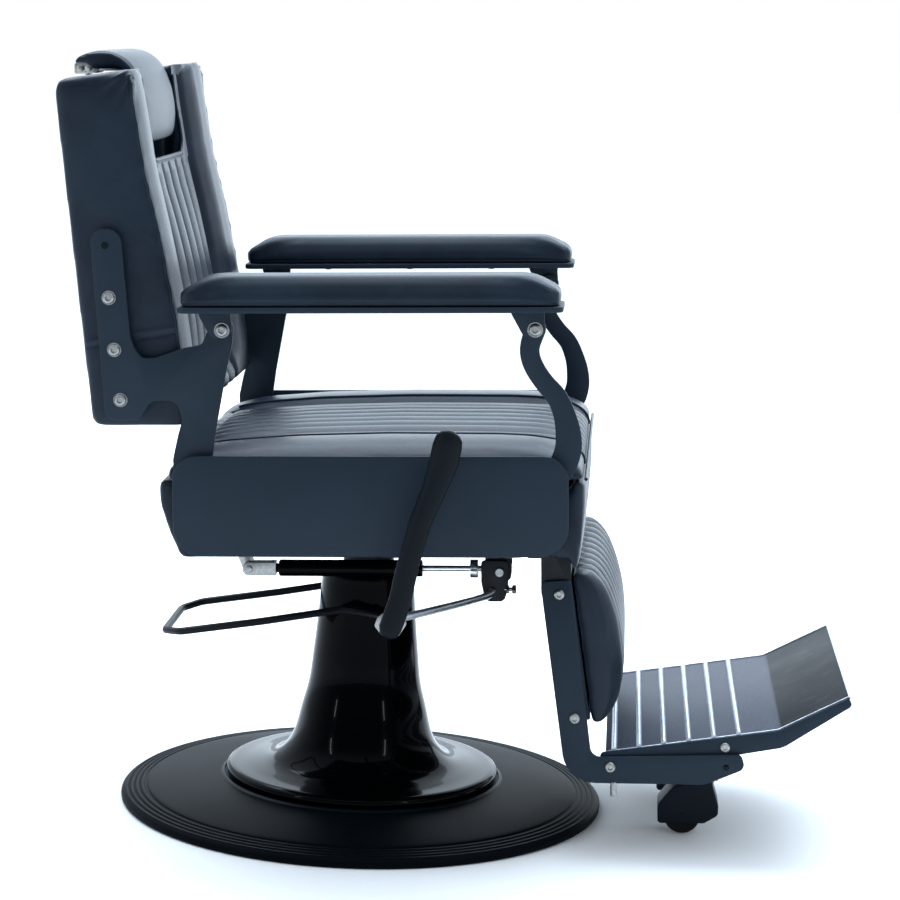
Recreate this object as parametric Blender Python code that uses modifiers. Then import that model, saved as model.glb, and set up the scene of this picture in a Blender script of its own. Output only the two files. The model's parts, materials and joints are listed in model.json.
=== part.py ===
# Hydraulic barber chair, an assembly of separate pieces.
# World: origin at the centre of the base on the floor, +X to the chair's front, +Y to the sitter's left, +Z up.
# Lengths are written in millimetres and turned to metres by the helpers. Everything that swivels is drawn in
# the seat's own frame, which leans back by SEAT_TILT about the world's Y axis.

import math

import bmesh
import bpy
from mathutils import Vector

MM = 0.001
GAP = 0.3
SEAT_TILT = 2.63

# Pedestal
BASE_RADIUS = 324
BELL_FLANGE_RADIUS = 183
COVER_TOP = 318
RAM_RADIUS = 25
RAM_TOP = 352
PEDAL_X, PEDAL_Z = 34, 270
PEDAL_HALF = 94
CAM_ARM = 20
PEDAL_BAR = 5

# Seat
PANEL_FRONT, PANEL_REAR = 290, -197
PANEL_BOTTOM, PANEL_TOP = 391, 516
PANEL_OUT, PANEL_SHEET = 305, 4
BOX_HALF = 280
CUSHION_HALF = 284
BOARD_BOTTOM, BOARD_TOP = 469.3, 481.3

# Plates that move between the box and the side panels
LINK_IN, LINK_OUT = 288, 294
TAB_IN, TAB_OUT = 295, 299

# Joint axes in the seat's frame
RECLINE = (-172, 455)
ARM_REAR = (-132, 670.5)
ARM_SPAN = 382
ARM_FRONT = (ARM_REAR[0] + ARM_SPAN, ARM_REAR[1])
LINK_FOOT = (RECLINE[0] + ARM_SPAN, RECLINE[1])
LEVER_PIN = (197, 338)
CLEVIS_PIN = (-130, 338)
GAS_Y = -110
FOOT_PIVOT = (340, 104)
FOOT_REST = (485, 129)
CASTER_X = 460
CASTER_OUT = 78
WHEEL = (433, 5.5)
WHEEL_RADIUS = 24

# Back
BACK_HALF = 280
BACK_REAR_TOP = (-338, 967)
BACK_LEAN = 5.23
NOTCH_HALF, NOTCH_BOTTOM = 122, 862
PILLOW_HALF = 118

# Arms
ARM_IN, ARM_OUT = 255, 340
ARM_BACK_END, ARM_FRONT_END = -181, 285
ARM_PLATE_BOTTOM, ARM_PLATE_TOP = 695, 702
ARM_PAD_TOP = 737

# Leg rest
LEG_IN, LEG_OUT = 214, 219
FLANGE_IN, FLANGE_OUT = 208, 212
LEG_ROD_TOP = (276, 327)
LEG_ROD_MID = (295, 167)
STOP_ROD = (486, 105)

for old in list(bpy.data.objects):
    bpy.data.objects.remove(old, do_unlink=True)
chair = bpy.data.collections.new("hydraulic_barber_chair")
cutters = bpy.data.collections.new("cutters")
bpy.context.scene.collection.children.link(chair)
bpy.context.scene.collection.children.link(cutters)


# ---------------------------------------------------------------- materials
def paint(name, colour, roughness, metallic=0.0):
    material = bpy.data.materials.new(name)
    material.use_nodes = True
    shader = material.node_tree.nodes["Principled BSDF"]
    shader.inputs["Base Color"].default_value = (*colour, 1)
    shader.inputs["Roughness"].default_value = roughness
    shader.inputs["Metallic"].default_value = metallic
    material.diffuse_color = (*colour, 1)
    return material


SATIN_BLACK = paint("satin_black", (0.010, 0.012, 0.016), 0.35)
GLOSS_BLACK = paint("gloss_black", (0.004, 0.005, 0.007), 0.08)
SLATE = paint("slate_powder_coat", (0.022, 0.032, 0.045), 0.5)
LEATHER = paint("slate_leather", (0.020, 0.030, 0.044), 0.42)
PLYWOOD = paint("plywood", (0.35, 0.24, 0.14), 0.7)
CHROME = paint("chrome", (0.80, 0.80, 0.82), 0.12, 1.0)
ZINC = paint("zinc", (0.62, 0.62, 0.60), 0.35, 1.0)
TREAD = paint("brushed_tread", (0.30, 0.31, 0.34), 0.3, 1.0)
PLASTIC = paint("black_plastic", (0.015, 0.017, 0.02), 0.4)


# ---------------------------------------------------------------- helpers
def link(thing, smooth_angle=30):
    """Moves a new object into the chair's collection and shades its round faces smooth."""
    for home in list(thing.users_collection):
        home.objects.unlink(thing)
    chair.objects.link(thing)
    if thing.type == "MESH" and smooth_angle:
        thing.data.shade_smooth()
        thing.data.set_sharp_from_angle(angle=math.radians(smooth_angle))
    return thing


def pivot(name, x, y, z, parent=None):
    """An empty on a joint's axis; x, y and z are in the frame that the pieces are drawn in."""
    empty = bpy.data.objects.new(name, None)
    chair.objects.link(empty)
    empty.empty_display_size = 0.03
    empty["at"] = (x, y, z)
    home = Vector(parent["at"]) if parent else Vector()
    empty.parent = parent
    empty.location = (Vector((x, y, z)) - home) * MM
    return empty


def hang(piece, parent, material=None):
    """Parents a piece drawn in its frame's own coordinates, and its Boolean tools with it."""
    piece.parent = parent
    piece.location -= Vector(parent["at"]) * MM
    if material:
        piece.data.materials.clear()
        piece.data.materials.append(material)
    for modifier in piece.modifiers:
        if modifier.type == "BOOLEAN" and modifier.object.parent is None:
            hang(modifier.object, parent)
    return piece


def bevelled(piece, width, segments=2):
    modifier = piece.modifiers.new("round_edges", "BEVEL")
    modifier.width = width * MM
    modifier.segments = segments
    modifier.limit_method = "ANGLE"
    return piece


def block(name, x, y, z, bevel=0):
    """A box between (low, high) in x, y and z."""
    spans = [Vector(span) for span in (x, y, z)]
    bpy.ops.mesh.primitive_cube_add(size=1, location=[sum(s) / 2 * MM for s in spans])
    piece = bpy.context.object
    piece.name = name
    piece.scale = [(s[1] - s[0]) * MM for s in spans]
    bpy.ops.object.transform_apply(location=False, rotation=False, scale=True)
    link(piece)
    return bevelled(piece, bevel) if bevel else piece


def rod(name, start, end, radius, sides=16):
    """A round bar between two points."""
    start, end = Vector(start) * MM, Vector(end) * MM
    along = end - start
    bpy.ops.mesh.primitive_cylinder_add(
        vertices=sides,
        radius=radius * MM,
        depth=along.length,
        location=(start + end) / 2,
        rotation=along.to_track_quat("Z", "Y").to_euler(),
    )
    piece = bpy.context.object
    piece.name = name
    return link(piece)


def turned(name, profile, at=(0, 0, 0), axis="Z", sides=24, ring=False):
    """A turned solid. The profile is (radius, height) down its outer side; a ring's profile closes on itself."""
    mesh = bpy.data.meshes.new(name)
    edges = [(i, i + 1) for i in range(len(profile) - 1)]
    if ring:
        edges.append((len(profile) - 1, 0))
    mesh.from_pydata([(r * MM, 0, h * MM) for r, h in profile], edges, [])
    piece = bpy.data.objects.new(name, mesh)
    chair.objects.link(piece)
    piece.location = Vector(at) * MM
    piece.rotation_euler = {"Z": (0, 0, 0), "Y": (-math.pi / 2, 0, 0), "X": (0, math.pi / 2, 0)}[axis]
    screw = piece.modifiers.new("turn", "SCREW")
    screw.steps = screw.render_steps = sides
    screw.use_merge_vertices = True
    screw.merge_threshold = 0.00001
    screw.use_smooth_shade = True
    return piece


def rounded(corners, steps=3, closed=True):
    """Corners (x, z) or (x, z, radius), or 3D points with a radius last, with their arcs worked out."""
    size = 3 if len(corners[0]) == 4 else 2
    points = [Vector(c[:size]) for c in corners]
    radii = [c[size] if len(c) > size else 0 for c in corners]
    path = []
    for i, corner in enumerate(points):
        inner = closed or 0 < i < len(points) - 1
        if not (radii[i] and inner):
            path.append(corner)
            continue
        back = points[i - 1] - corner
        ahead = points[(i + 1) % len(points)] - corner
        half = back.angle(ahead) / 2
        reach = min(radii[i] / math.tan(half), 0.49 * back.length, 0.49 * ahead.length)
        first = corner + back.normalized() * reach
        last = corner + ahead.normalized() * reach
        middle = corner + (back.normalized() + ahead.normalized()).normalized() * (reach / math.cos(half))
        for step in range(steps + 1):
            spoke = (first - middle).lerp(last - middle, step / steps)
            path.append(middle + spoke.normalized() * (first - middle).length)
    return path


def through(stations, steps=3):
    """A smooth curve through stations of any size (Catmull-Rom)."""
    rows = [Vector(s) for s in stations]
    rows = [2 * rows[0] - rows[1], *rows, 2 * rows[-1] - rows[-2]]
    path = []
    for a, b, c, d in zip(rows, rows[1:], rows[2:], rows[3:]):
        for step in range(steps):
            t = step / steps
            path.append(0.5 * (2 * b + (c - a) * t + (2 * a - 5 * b + 4 * c - d) * t**2
                               + (3 * b - a - 3 * c + d) * t**3))
    return path + [rows[-2]]


def ribbon(stations, cap=6, steps=2):
    """Outline of a bar with round ends; a station is (x, z, half width)."""
    path = through(stations, steps)
    left, right = [], []
    for i, station in enumerate(path):
        ahead = path[min(i + 1, len(path) - 1)].xy - path[max(i - 1, 0)].xy
        side = Vector((-ahead.y, ahead.x)).normalized() * station.z
        left.append(station.xy + side)
        right.append(station.xy - side)
    ends = []
    for centre, spoke in ((path[-1], left[-1] - path[-1].xy), (path[0], right[0] - path[0].xy)):
        arc = []
        for step in range(1, cap):
            turn = -math.pi * step / cap
            c, s = math.cos(turn), math.sin(turn)
            arc.append(centre.xy + Vector((spoke.x * c - spoke.y * s, spoke.x * s + spoke.y * c)))
        ends.append(arc)
    return left + ends[0] + right[::-1] + ends[1]


def circle(x, z, radius, sides=16):
    turns = [2 * math.pi * i / sides for i in range(sides)]
    return [Vector((x + radius * math.cos(a), z + radius * math.sin(a))) for a in turns]


def plate(name, outline, low, high, holes=()):
    """A flat outline in the XZ plane, with holes, that is as thick as low to high along Y."""
    flat = bpy.data.curves.new(name, "CURVE")
    flat.dimensions = "2D"
    flat.fill_mode = "BOTH"
    flat.extrude = (high - low) / 2 * MM
    for loop in (outline, *holes):
        spline = flat.splines.new("POLY")
        spline.points.add(len(loop) - 1)
        spline.use_cyclic_u = True
        for point, (x, z) in zip(spline.points, loop):
            point.co = (x * MM, z * MM, 0, 1)
    piece = bpy.data.objects.new(name, flat)
    chair.objects.link(piece)
    piece.rotation_euler = (math.pi / 2, 0, 0)
    piece.location = (0, (low + high) / 2 * MM, 0)
    return piece


def bent_bar(name, points, radius):
    """A bent round bar along a path of points."""
    wire = bpy.data.curves.new(name, "CURVE")
    wire.dimensions = "3D"
    wire.bevel_depth = radius * MM
    wire.bevel_resolution = 2
    wire.use_fill_caps = True
    spline = wire.splines.new("POLY")
    spline.points.add(len(points) - 1)
    for point, place in zip(spline.points, points):
        point.co = (*(place * MM), 1)
    piece = bpy.data.objects.new(name, wire)
    chair.objects.link(piece)
    return piece


def solid(curve):
    """The curve object as a welded mesh object, ready for Bevel and Boolean."""
    bpy.context.view_layer.update()
    seen = curve.evaluated_get(bpy.context.evaluated_depsgraph_get())
    mesh = bpy.data.meshes.new_from_object(seen)
    work = bmesh.new()
    work.from_mesh(mesh)
    bmesh.ops.remove_doubles(work, verts=work.verts, dist=0.000005)
    work.to_mesh(mesh)
    work.free()
    name, place = curve.name, curve.matrix_world.copy()
    bpy.data.objects.remove(curve, do_unlink=True)
    piece = bpy.data.objects.new(name, mesh)
    chair.objects.link(piece)
    piece.matrix_world = place
    return piece


def boolean(piece, operation, tools):
    for tool in tools:
        for home in list(tool.users_collection):
            home.objects.unlink(tool)
        cutters.objects.link(tool)
        tool.hide_render = True
        tool.display_type = "WIRE"
        modifier = piece.modifiers.new(tool.name, "BOOLEAN")
        modifier.operation = operation
        modifier.solver = "EXACT"
        modifier.object = tool
    return piece


def cut(piece, *tools):
    return boolean(piece, "DIFFERENCE", tools)


def join(piece, *tools):
    return boolean(piece, "UNION", tools)


def headed_rod(name, x, z, reach, shank, head=7, head_height=4):
    """A tie rod along Y with a button head at each end; reach is where its heads begin."""
    top = reach + head_height
    profile = [(0, top), (head - 3, top), (head, reach + 1.5), (head, reach), (shank, reach)]
    profile += [(r, -h) for r, h in reversed(profile)]
    return turned(name, profile, at=(x, 0, z), axis="Y", sides=16)


SIDES = (("r", -1), ("l", 1))


def across(side, low, high):
    """A span along Y on one side of the chair, low end first."""
    return (low, high) if side > 0 else (-high, -low)


# ---------------------------------------------------------------- joint axes
floor = pivot("floor_origin", 0, 0, 0)
pedal_axis = pivot("pedal_axis", PEDAL_X, 0, PEDAL_Z, floor)
plunger_axis = pivot("plunger_axis", PEDAL_X + CAM_ARM, 0, PEDAL_Z, floor)
lift_axis = pivot("lift_axis", 0, 0, 0, floor)
swivel_axis = pivot("swivel_axis", 0, 0, 0, lift_axis)
seat = pivot("seat_frame_origin", 0, 0, 0, swivel_axis)
seat.rotation_euler = (0, -math.radians(SEAT_TILT), 0)
back = pivot("recline_axis", RECLINE[0], 0, RECLINE[1], seat)
back_face = pivot("back_rear_face", BACK_REAR_TOP[0], 0, BACK_REAR_TOP[1], back)
back_face.rotation_euler = (0, -math.radians(BACK_LEAN), 0)
back_face["at"] = (0, 0, 0)
gas_axis = pivot("gas_spring_axis", CLEVIS_PIN[0], GAS_Y, CLEVIS_PIN[1], back)
gas_rod_axis = pivot("gas_rod_axis", LEVER_PIN[0], GAS_Y, LEVER_PIN[1], gas_axis)
lever_axis = pivot("lever_axis", LEVER_PIN[0], GAS_Y, LEVER_PIN[1], seat)
foot_axis = pivot("foot_plate_axis", FOOT_PIVOT[0], 0, FOOT_PIVOT[1], seat)
caster_axes = {tag: pivot("caster_axis_" + tag, CASTER_X, side * CASTER_OUT, 0, seat) for tag, side in SIDES}
wheel_axes = {tag: pivot("wheel_axis_" + tag, WHEEL[0], side * CASTER_OUT, WHEEL[1], caster_axes[tag])
              for tag, side in SIDES}


# ---------------------------------------------------------------- pedestal
def pedestal():
    hang(turned("base_plate", [(0, 8), (316, 8), (318, 6), (318, 0), (0, 0)], sides=48), floor, SATIN_BLACK)

    steps = [(318, 13), (311, 14.5), (304, 16), (297, 17.5)]
    top = [(BASE_RADIUS, 9)]
    for radius, height in steps:
        top += [(radius + 3, height - 1), (radius, height)]
    top += [(290, 17.5), (286, 19), (240, 27), (185, 33.5), (150, 34)]
    under = [(150, 31.5), (185, 31), (240, 24.5), (284, 16.3), (316, 10.5), (321, 8), (321, 0.8)]
    skin = top + under + [(BASE_RADIUS, 0.8)]
    cover = turned("base_cover", skin[::-1], sides=48, ring=True)
    hang(cover, floor, SATIN_BLACK)

    outer = [(28, COVER_TOP), (56, COVER_TOP), (60.5, COVER_TOP - 4), (62, 300), (66.5, 245), (71, 200),
             (75.5, 162), (84, 128), (93, 92), (104, 72), (122, 57), (150, 51), (176, 49)]
    flange = [(BELL_FLANGE_RADIUS, 46), (BELL_FLANGE_RADIUS, 38), (181, 36), (176, 36), (176, 45)]
    inner = [(150, 47.5), (120, 53.5), (101, 69), (90, 90), (81, 127), (72.5, 161), (68, 199), (63.5, 245),
             (58.5, 304), (56, COVER_TOP - 3), (28, COVER_TOP - 3)]
    bell = turned("pump_cover", outer + flange + inner, sides=40, ring=True)
    hang(cut(bell, rod("pedal_hole", (PEDAL_X, -80, PEDAL_Z), (PEDAL_X, 80, PEDAL_Z), 7.5)), floor, GLOSS_BLACK)

    body = turned("pump_body", [(RAM_RADIUS + 0.4, 300), (45, 300), (48, 297), (48, 40), (70, 36), (70, 8.3),
                                (RAM_RADIUS + 0.4, 8.3)], sides=24, ring=True)
    hang(cut(body, rod("shaft_bore", (PEDAL_X, -60, PEDAL_Z), (PEDAL_X, 60, PEDAL_Z), 7),
             block("cam_slot", (20, 70), (-9, 9), (PEDAL_Z - 20, PEDAL_Z + 20)),
             rod("plunger_bore", (PEDAL_X + CAM_ARM, 0, 120), (PEDAL_X + CAM_ARM, 0, 320), 6.5)), floor, SATIN_BLACK)


def pump():
    profile = [(0, 259), (6, 259), (6, 150), (0, 150)]
    hang(turned("pump_plunger", profile, at=(PEDAL_X + CAM_ARM, 0, 0), sides=16), plunger_axis, ZINC)

    inner_end = PEDAL_HALF - 6 - GAP
    shaft = rod("pedal_shaft", (PEDAL_X, -inner_end, PEDAL_Z), (PEDAL_X, inner_end, PEDAL_Z), 6)
    cam = solid(plate("cam_arm", ribbon([(PEDAL_X, PEDAL_Z, 8), (PEDAL_X + CAM_ARM, PEDAL_Z, 4.5)]), -7, 7))
    hang(join(shaft, cam), pedal_axis, ZINC)

    side = [(PEDAL_X, 272), (-22, 279), (-60, 271), (-131, 257)]
    loop = [(x, -PEDAL_HALF, z, 40) for x, z in side]
    loop += [(-238, -PEDAL_HALF, 238, 16), (-262, -PEDAL_HALF + 26, 233, 16)]
    loop += [(x, -y, z, radius) for x, y, z, radius in reversed(loop)]
    bar = solid(bent_bar("foot_pedal", rounded(loop, 3, closed=False), PEDAL_BAR))
    hubs = [rod("pedal_hub_" + tag, (PEDAL_X, s * (PEDAL_HALF - 6), PEDAL_Z), (PEDAL_X, s * (PEDAL_HALF + 6),
                PEDAL_Z), 9) for tag, s in SIDES]
    hang(join(bar, *hubs), pedal_axis, SATIN_BLACK)

    hang(turned("pump_ram", [(0, RAM_TOP), (RAM_RADIUS - 2, RAM_TOP), (RAM_RADIUS, RAM_TOP - 3),
                             (RAM_RADIUS, 60), (0, 60)]), lift_axis, CHROME)


# ---------------------------------------------------------------- seat
def seat_structure():
    socket = turned("swivel_hub", [(0, 369), (40, 369), (40, 352), (34, 346), (34, 328), (RAM_RADIUS + 0.4, 328),
                                   (RAM_RADIUS + 0.4, RAM_TOP + GAP), (0, RAM_TOP + GAP)])
    top = hang(block("mounting_plate", (-100, 100), (-90, 90), (366, 374)), seat)
    hang(join(socket, top), swivel_axis, SATIN_BLACK)

    frame = block("seat_frame", (240, 265), (-300.7, 300.7), (389, 414))
    bars = [block("rear_cross_bar", (60, 85), (-300.7, 300.7), (389, 414))]
    for tag, side in SIDES:
        bars.append(block("rail_" + tag, (-160, 288), across(side, 60, 85), (374.3, 394.3)))
        outline = rounded([(253, 400), (253, 316, 12), (291, 316, 12), (291, 400)])
        hanger = plate("hanger_" + tag, outline, *across(side, FLANGE_IN, 213.7), [circle(*LEG_ROD_TOP, 4.4)])
        bars.append(solid(hanger))
    hang(join(frame, *bars), seat, SATIN_BLACK)

    side_wall = [(-186, 383), (298, 383), (298, BOARD_BOTTOM - GAP), (-206, BOARD_BOTTOM - GAP), (-204, 425)]
    front = [(294.3, 368), (298, 368), (303, 382), (309, 440), (310, BOARD_TOP), (294.3, BOARD_TOP)]
    rear = [(-219, BOARD_TOP), (-218, 455), (-208, 419, 20), (-194, 386), (-186, 381), (-181, 386),
            (-194, 410), (-199, 430), (-199, BOARD_TOP)]
    box = solid(plate("seat_box", front, -BOX_HALF, BOX_HALF))
    walls = [solid(plate("box_rear", rounded(rear), -BOX_HALF, BOX_HALF))]
    for tag, side in SIDES:
        walls.append(solid(plate("box_side_" + tag, side_wall, *across(side, 262, BOX_HALF - 0.5))))
    join(box, *walls)
    notches = [block("bar_notch", (x - 1, x + 26), (-290, 290), (370, 415)) for x in (60, 240)]
    x, z = RECLINE
    hang(cut(box, *notches, rod("shaft_hole", (x, -290, z), (x, 290, z), 10.5)), seat, LEATHER)

    board = block("seat_board", (-198.7, 294), (-BOX_HALF + 0.5, BOX_HALF - 0.5), (BOARD_BOTTOM, BOARD_TOP))
    hang(board, seat, PLYWOOD)
    top = [(-209, BOARD_TOP + GAP, 6), (-211, 505, 14), (-185, 524, 30), (-60, 536, 200), (60, 540, 200),
           (200, 539, 200), (292, 534, 40), (309, 506, 40), (310, BOARD_TOP + GAP, 4)]
    cushion = solid(plate("seat_cushion", rounded(top), -CUSHION_HALF, CUSHION_HALF))
    hang(bevelled(cushion, 7), seat, LEATHER)

    for tag, side in SIDES:
        outline = rounded([(PANEL_REAR, PANEL_BOTTOM, 36), (PANEL_FRONT, PANEL_BOTTOM, 36),
                           (PANEL_FRONT, PANEL_TOP, 30), (PANEL_REAR, PANEL_TOP, 30)], 6)
        panel = plate("side_panel_" + tag, outline, *across(side, PANEL_OUT - PANEL_SHEET, PANEL_OUT))
        hang(panel, seat, SLATE)
        low, high = across(side, BOX_HALF + GAP, PANEL_OUT - PANEL_SHEET - GAP)
        x, z = LINK_FOOT
        hang(rod("link_pin_" + tag, (x, low, z), (x, high, z), 6), seat, ZINC)


# ---------------------------------------------------------------- recline and gas spring
def recline():
    bracket = [(-293, 794, 18), (-255, 794, 18), (-246, 662, 8), (-242, 650, 14), (-233, 635, 12),
               (-216, 636, 16), (-180, 648, 14), (-158, 652, 8), (-149, 672, 12), (-146, 685, 8),
               (-118, 685, 14), (-120, 655, 10), (-128, 622, 30), (-143, 546, 30), (-150, 500, 30),
               (-152, 435, 18), (-193, 435, 18), (-197, 510, 20), (-190, 540, 20), (-184, 560, 16),
               (-191, 583, 12), (-222, 583, 14), (-237, 559, 8), (-279, 559, 14)]
    bolt_hole = circle(*ARM_REAR, 4.4)
    for tag, side in SIDES:
        piece = plate("back_bracket_" + tag, rounded(bracket), *across(side, LINK_IN, LINK_OUT), [bolt_hole])
        hang(piece, back, SLATE)
    x, z = RECLINE
    shaft = rod("recline_shaft", (x, -LINK_IN + GAP, z), (x, LINK_IN - GAP, z), 10)
    arm = ribbon([(*RECLINE, 13.3), (*CLEVIS_PIN, 8.5)], cap=8, steps=1)
    crank = solid(plate("crank", arm, GAS_Y - 3, GAS_Y + 3))
    pin = rod("clevis_pin", (CLEVIS_PIN[0], GAS_Y - 11, CLEVIS_PIN[1]), (CLEVIS_PIN[0], GAS_Y + 11, CLEVIS_PIN[1]), 4)
    hang(join(shaft, crank, pin), back, ZINC)

    x, z = CLEVIS_PIN
    fork = block("gas_clevis", (x - 9, x + 35), (GAS_Y - 9, GAS_Y + 9), (z - 9, z + 9), 1.5)
    hang(cut(fork, block("clevis_slot", (x - 15, x + 14), (GAS_Y - 3.5, GAS_Y + 3.5), (z - 15, z + 15)),
             rod("clevis_bore", (x, GAS_Y - 20, z), (x, GAS_Y + 20, z), 4.4)), gas_axis, ZINC)
    tube = [(0, -94.7), (6, -94.7), (6, -91), (11, -91), (11, 96), (4.4, 96), (4.4, 91), (8, 91), (8, -86), (0, -86)]
    hang(turned("gas_cylinder", tube[::-1], at=(0, GAS_Y, z), axis="X", sides=24), gas_axis, SATIN_BLACK)

    shaft = [(0, 184), (4, 184), (4, 168), (12, 168), (12, 158), (4, 158), (4, 0), (7.5, 0), (7.5, -15), (0, -15)]
    gas_rod = turned("gas_rod", shaft, at=(0, GAS_Y, z), axis="X", sides=20)
    eye = solid(plate("rod_eye", circle(*LEVER_PIN, 16), GAS_Y - 4.5, GAS_Y + 4.5, [circle(*LEVER_PIN, 12, 24)]))
    hang(join(gas_rod, eye), gas_rod_axis, CHROME)

    pin_hole = circle(*LEVER_PIN, 5.9)
    cheek = rounded([(178, 372), (178, 323, 10), (212, 323, 10), (212, 372)])
    anchor = block("anchor_bracket", (178, 212), (GAS_Y - 17, -62), (366, 374))
    cheeks = [solid(plate("cheek_" + tag, cheek, GAS_Y + low, GAS_Y + low + 4, [pin_hole]))
              for tag, low in (("out", -17), ("in", 13))]
    hang(join(anchor, *cheeks), seat, SATIN_BLACK)
    x, z = LEVER_PIN
    hang(rod("pivot_pin", (x, GAS_Y - 28, z), (x, GAS_Y + 24, z), 5.5), seat, ZINC)

    rocker = rounded([(173, 353, 5), (208, 353, 5), (208, 318, 6), (203, 299, 8), (178, 299, 9), (173, 325, 8)])
    hang(plate("release_rocker", rocker, GAS_Y - 23, GAS_Y - 18, [pin_hole]), lever_axis, SATIN_BLACK)
    tongue = rounded([(50, 312, 4), (57, 326, 5), (70, 333, 8), (94, 329, 5), (96, 314, 6), (84, 294, 6), (62, 296, 8)])
    bar = rod("release_rod", (186, GAS_Y - 26.5, 307), (88, -334, 322), 5)
    hang(join(bar, solid(plate("lever_tongue", tongue, -336, -332))), lever_axis, CHROME)
    handle = ribbon([(148, 543, 18), (143, 522, 18), (129, 482, 15), (111, 440, 13.5), (97, 392, 13.5),
                     (86, 345, 14), (73, 311, 14)])
    hang(bevelled(solid(plate("lever_handle", handle, -346, -336.3)), 1.5), lever_axis, PLASTIC)


# ---------------------------------------------------------------- back and headrest
def backrest():
    frame = [(-337, 968, 8), (-277.5, 974, 6), (-239.5, 560), (-297, 555, 6)]
    hang(solid(plate("back_frame", rounded(frame), -BACK_HALF, BACK_HALF)), back, LEATHER)
    front = [(-276.5, 978), (-239, 986, 10), (-233, 940, 60), (-214, 828, 200), (-193, 710, 200),
             (-180, 600, 60), (-176, 551, 10), (-238.5, 555)]
    cushion = solid(plate("back_cushion", rounded(front), -BACK_HALF, BACK_HALF))
    notch = block("headrest_notch", (-330, -180), (-NOTCH_HALF, NOTCH_HALF), (NOTCH_BOTTOM, 1010), 24)
    hang(cut(cushion, notch), back, LEATHER)

    guide = block("headrest_guide", (-14, -GAP), (-27, 27), (-150, -70))
    hang(cut(guide, block("bar_slot", (-9.6, -3.4), (-20.5, 20.5), (-160, -60))), back_face, SATIN_BLACK)
    slope = math.tan(math.radians(BACK_LEAN))
    rear = lambda z, off: (BACK_REAR_TOP[0] + (BACK_REAR_TOP[1] - z) * slope - off, z)
    hook = [(*rear(985, 9.1), 3), (-285, 985), (-285, 980), (*rear(980, 4.1), 1), rear(760, 4.1), rear(760, 9.1)]
    hang(plate("headrest_bar", rounded([(*c, 0)[:3] for c in hook]), -20, 20), back, CHROME)
    moon = [(-352, 985.6, 6), (-346, 998, 12), (-322, 1009, 60), (-292, 1009, 60), (-262, 993, 30),
            (-247, 960, 40), (-242, 925, 40), (-247, 893, 10), (-262, 886, 8), (-268.5, 900, 4), (-274, 985.6)]
    pillow = solid(plate("headrest_pillow", rounded(moon), -PILLOW_HALF, PILLOW_HALF))
    hang(bevelled(pillow, 3), back, LEATHER)


# ---------------------------------------------------------------- arms
def arms():
    tab_rear = [(-162, 698), (-160, 688, 10), (-145, 660, 12), (-119, 660, 12), (-121, 688, 20), (-119, 698)]
    tab_front = [(218, 698), (222, 688, 10), (237, 660, 12), (263, 660, 12), (261, 688, 20), (263, 698)]
    link_path = [(*ARM_FRONT, 13), (243, 647, 12), (247, 627, 12), (260, 606, 12), (276, 587, 12.5),
                 (285, 565, 13.5), (289.5, 543, 15.5), (289, 521, 16.5), (279, 498, 17), (253, 473, 17),
                 (*LINK_FOOT, 18)]
    for tag, side in SIDES:
        rear_axis = pivot("arm_axis_" + tag, ARM_REAR[0], side * LINK_OUT, ARM_REAR[1], back)
        foot_axis_here = pivot("link_axis_" + tag, LINK_FOOT[0], side * LINK_OUT, LINK_FOOT[1], seat)
        width = across(side, ARM_IN, ARM_OUT)
        base = block("arm_plate_" + tag, (ARM_BACK_END, ARM_FRONT_END), width, (ARM_PLATE_BOTTOM, ARM_PLATE_TOP))
        tabs = []
        for name, outline, centre in (("rear", tab_rear, ARM_REAR), ("front", tab_front, ARM_FRONT)):
            tab = plate(f"tab_{name}_{tag}", rounded(outline), *across(side, TAB_IN, TAB_OUT), [circle(*centre, 4.4)])
            tabs.append(solid(tab))
        hang(join(base, *tabs), rear_axis, SLATE)
        pad = block("arm_pad_" + tag, (ARM_BACK_END + 1, ARM_FRONT_END - 2), width,
                    (ARM_PLATE_TOP + GAP, ARM_PAD_TOP))
        hang(bevelled(pad, 14, 3), rear_axis, LEATHER)
        for name, (x, z) in (("rear", ARM_REAR), ("front", ARM_FRONT)):
            bolt = turned(f"arm_bolt_{name}_{tag}", [(0, 304), (4, 304), (7.5, 301), (7.5, 299.4), (4, 299.4),
                                                     (4, 286), (0, 286)], axis="Y", sides=16)
            bolt.location = (x * MM, 0, z * MM)
            if side < 0:
                bolt.rotation_euler = (math.pi / 2, 0, 0)
            hang(bolt, rear_axis, ZINC)
        holes = [circle(*ARM_FRONT, 4.4), circle(*LINK_FOOT, 6.5)]
        swing = plate("front_link_" + tag, ribbon(link_path), *across(side, LINK_IN, LINK_OUT), holes)
        hang(swing, foot_axis_here, SLATE)


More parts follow.
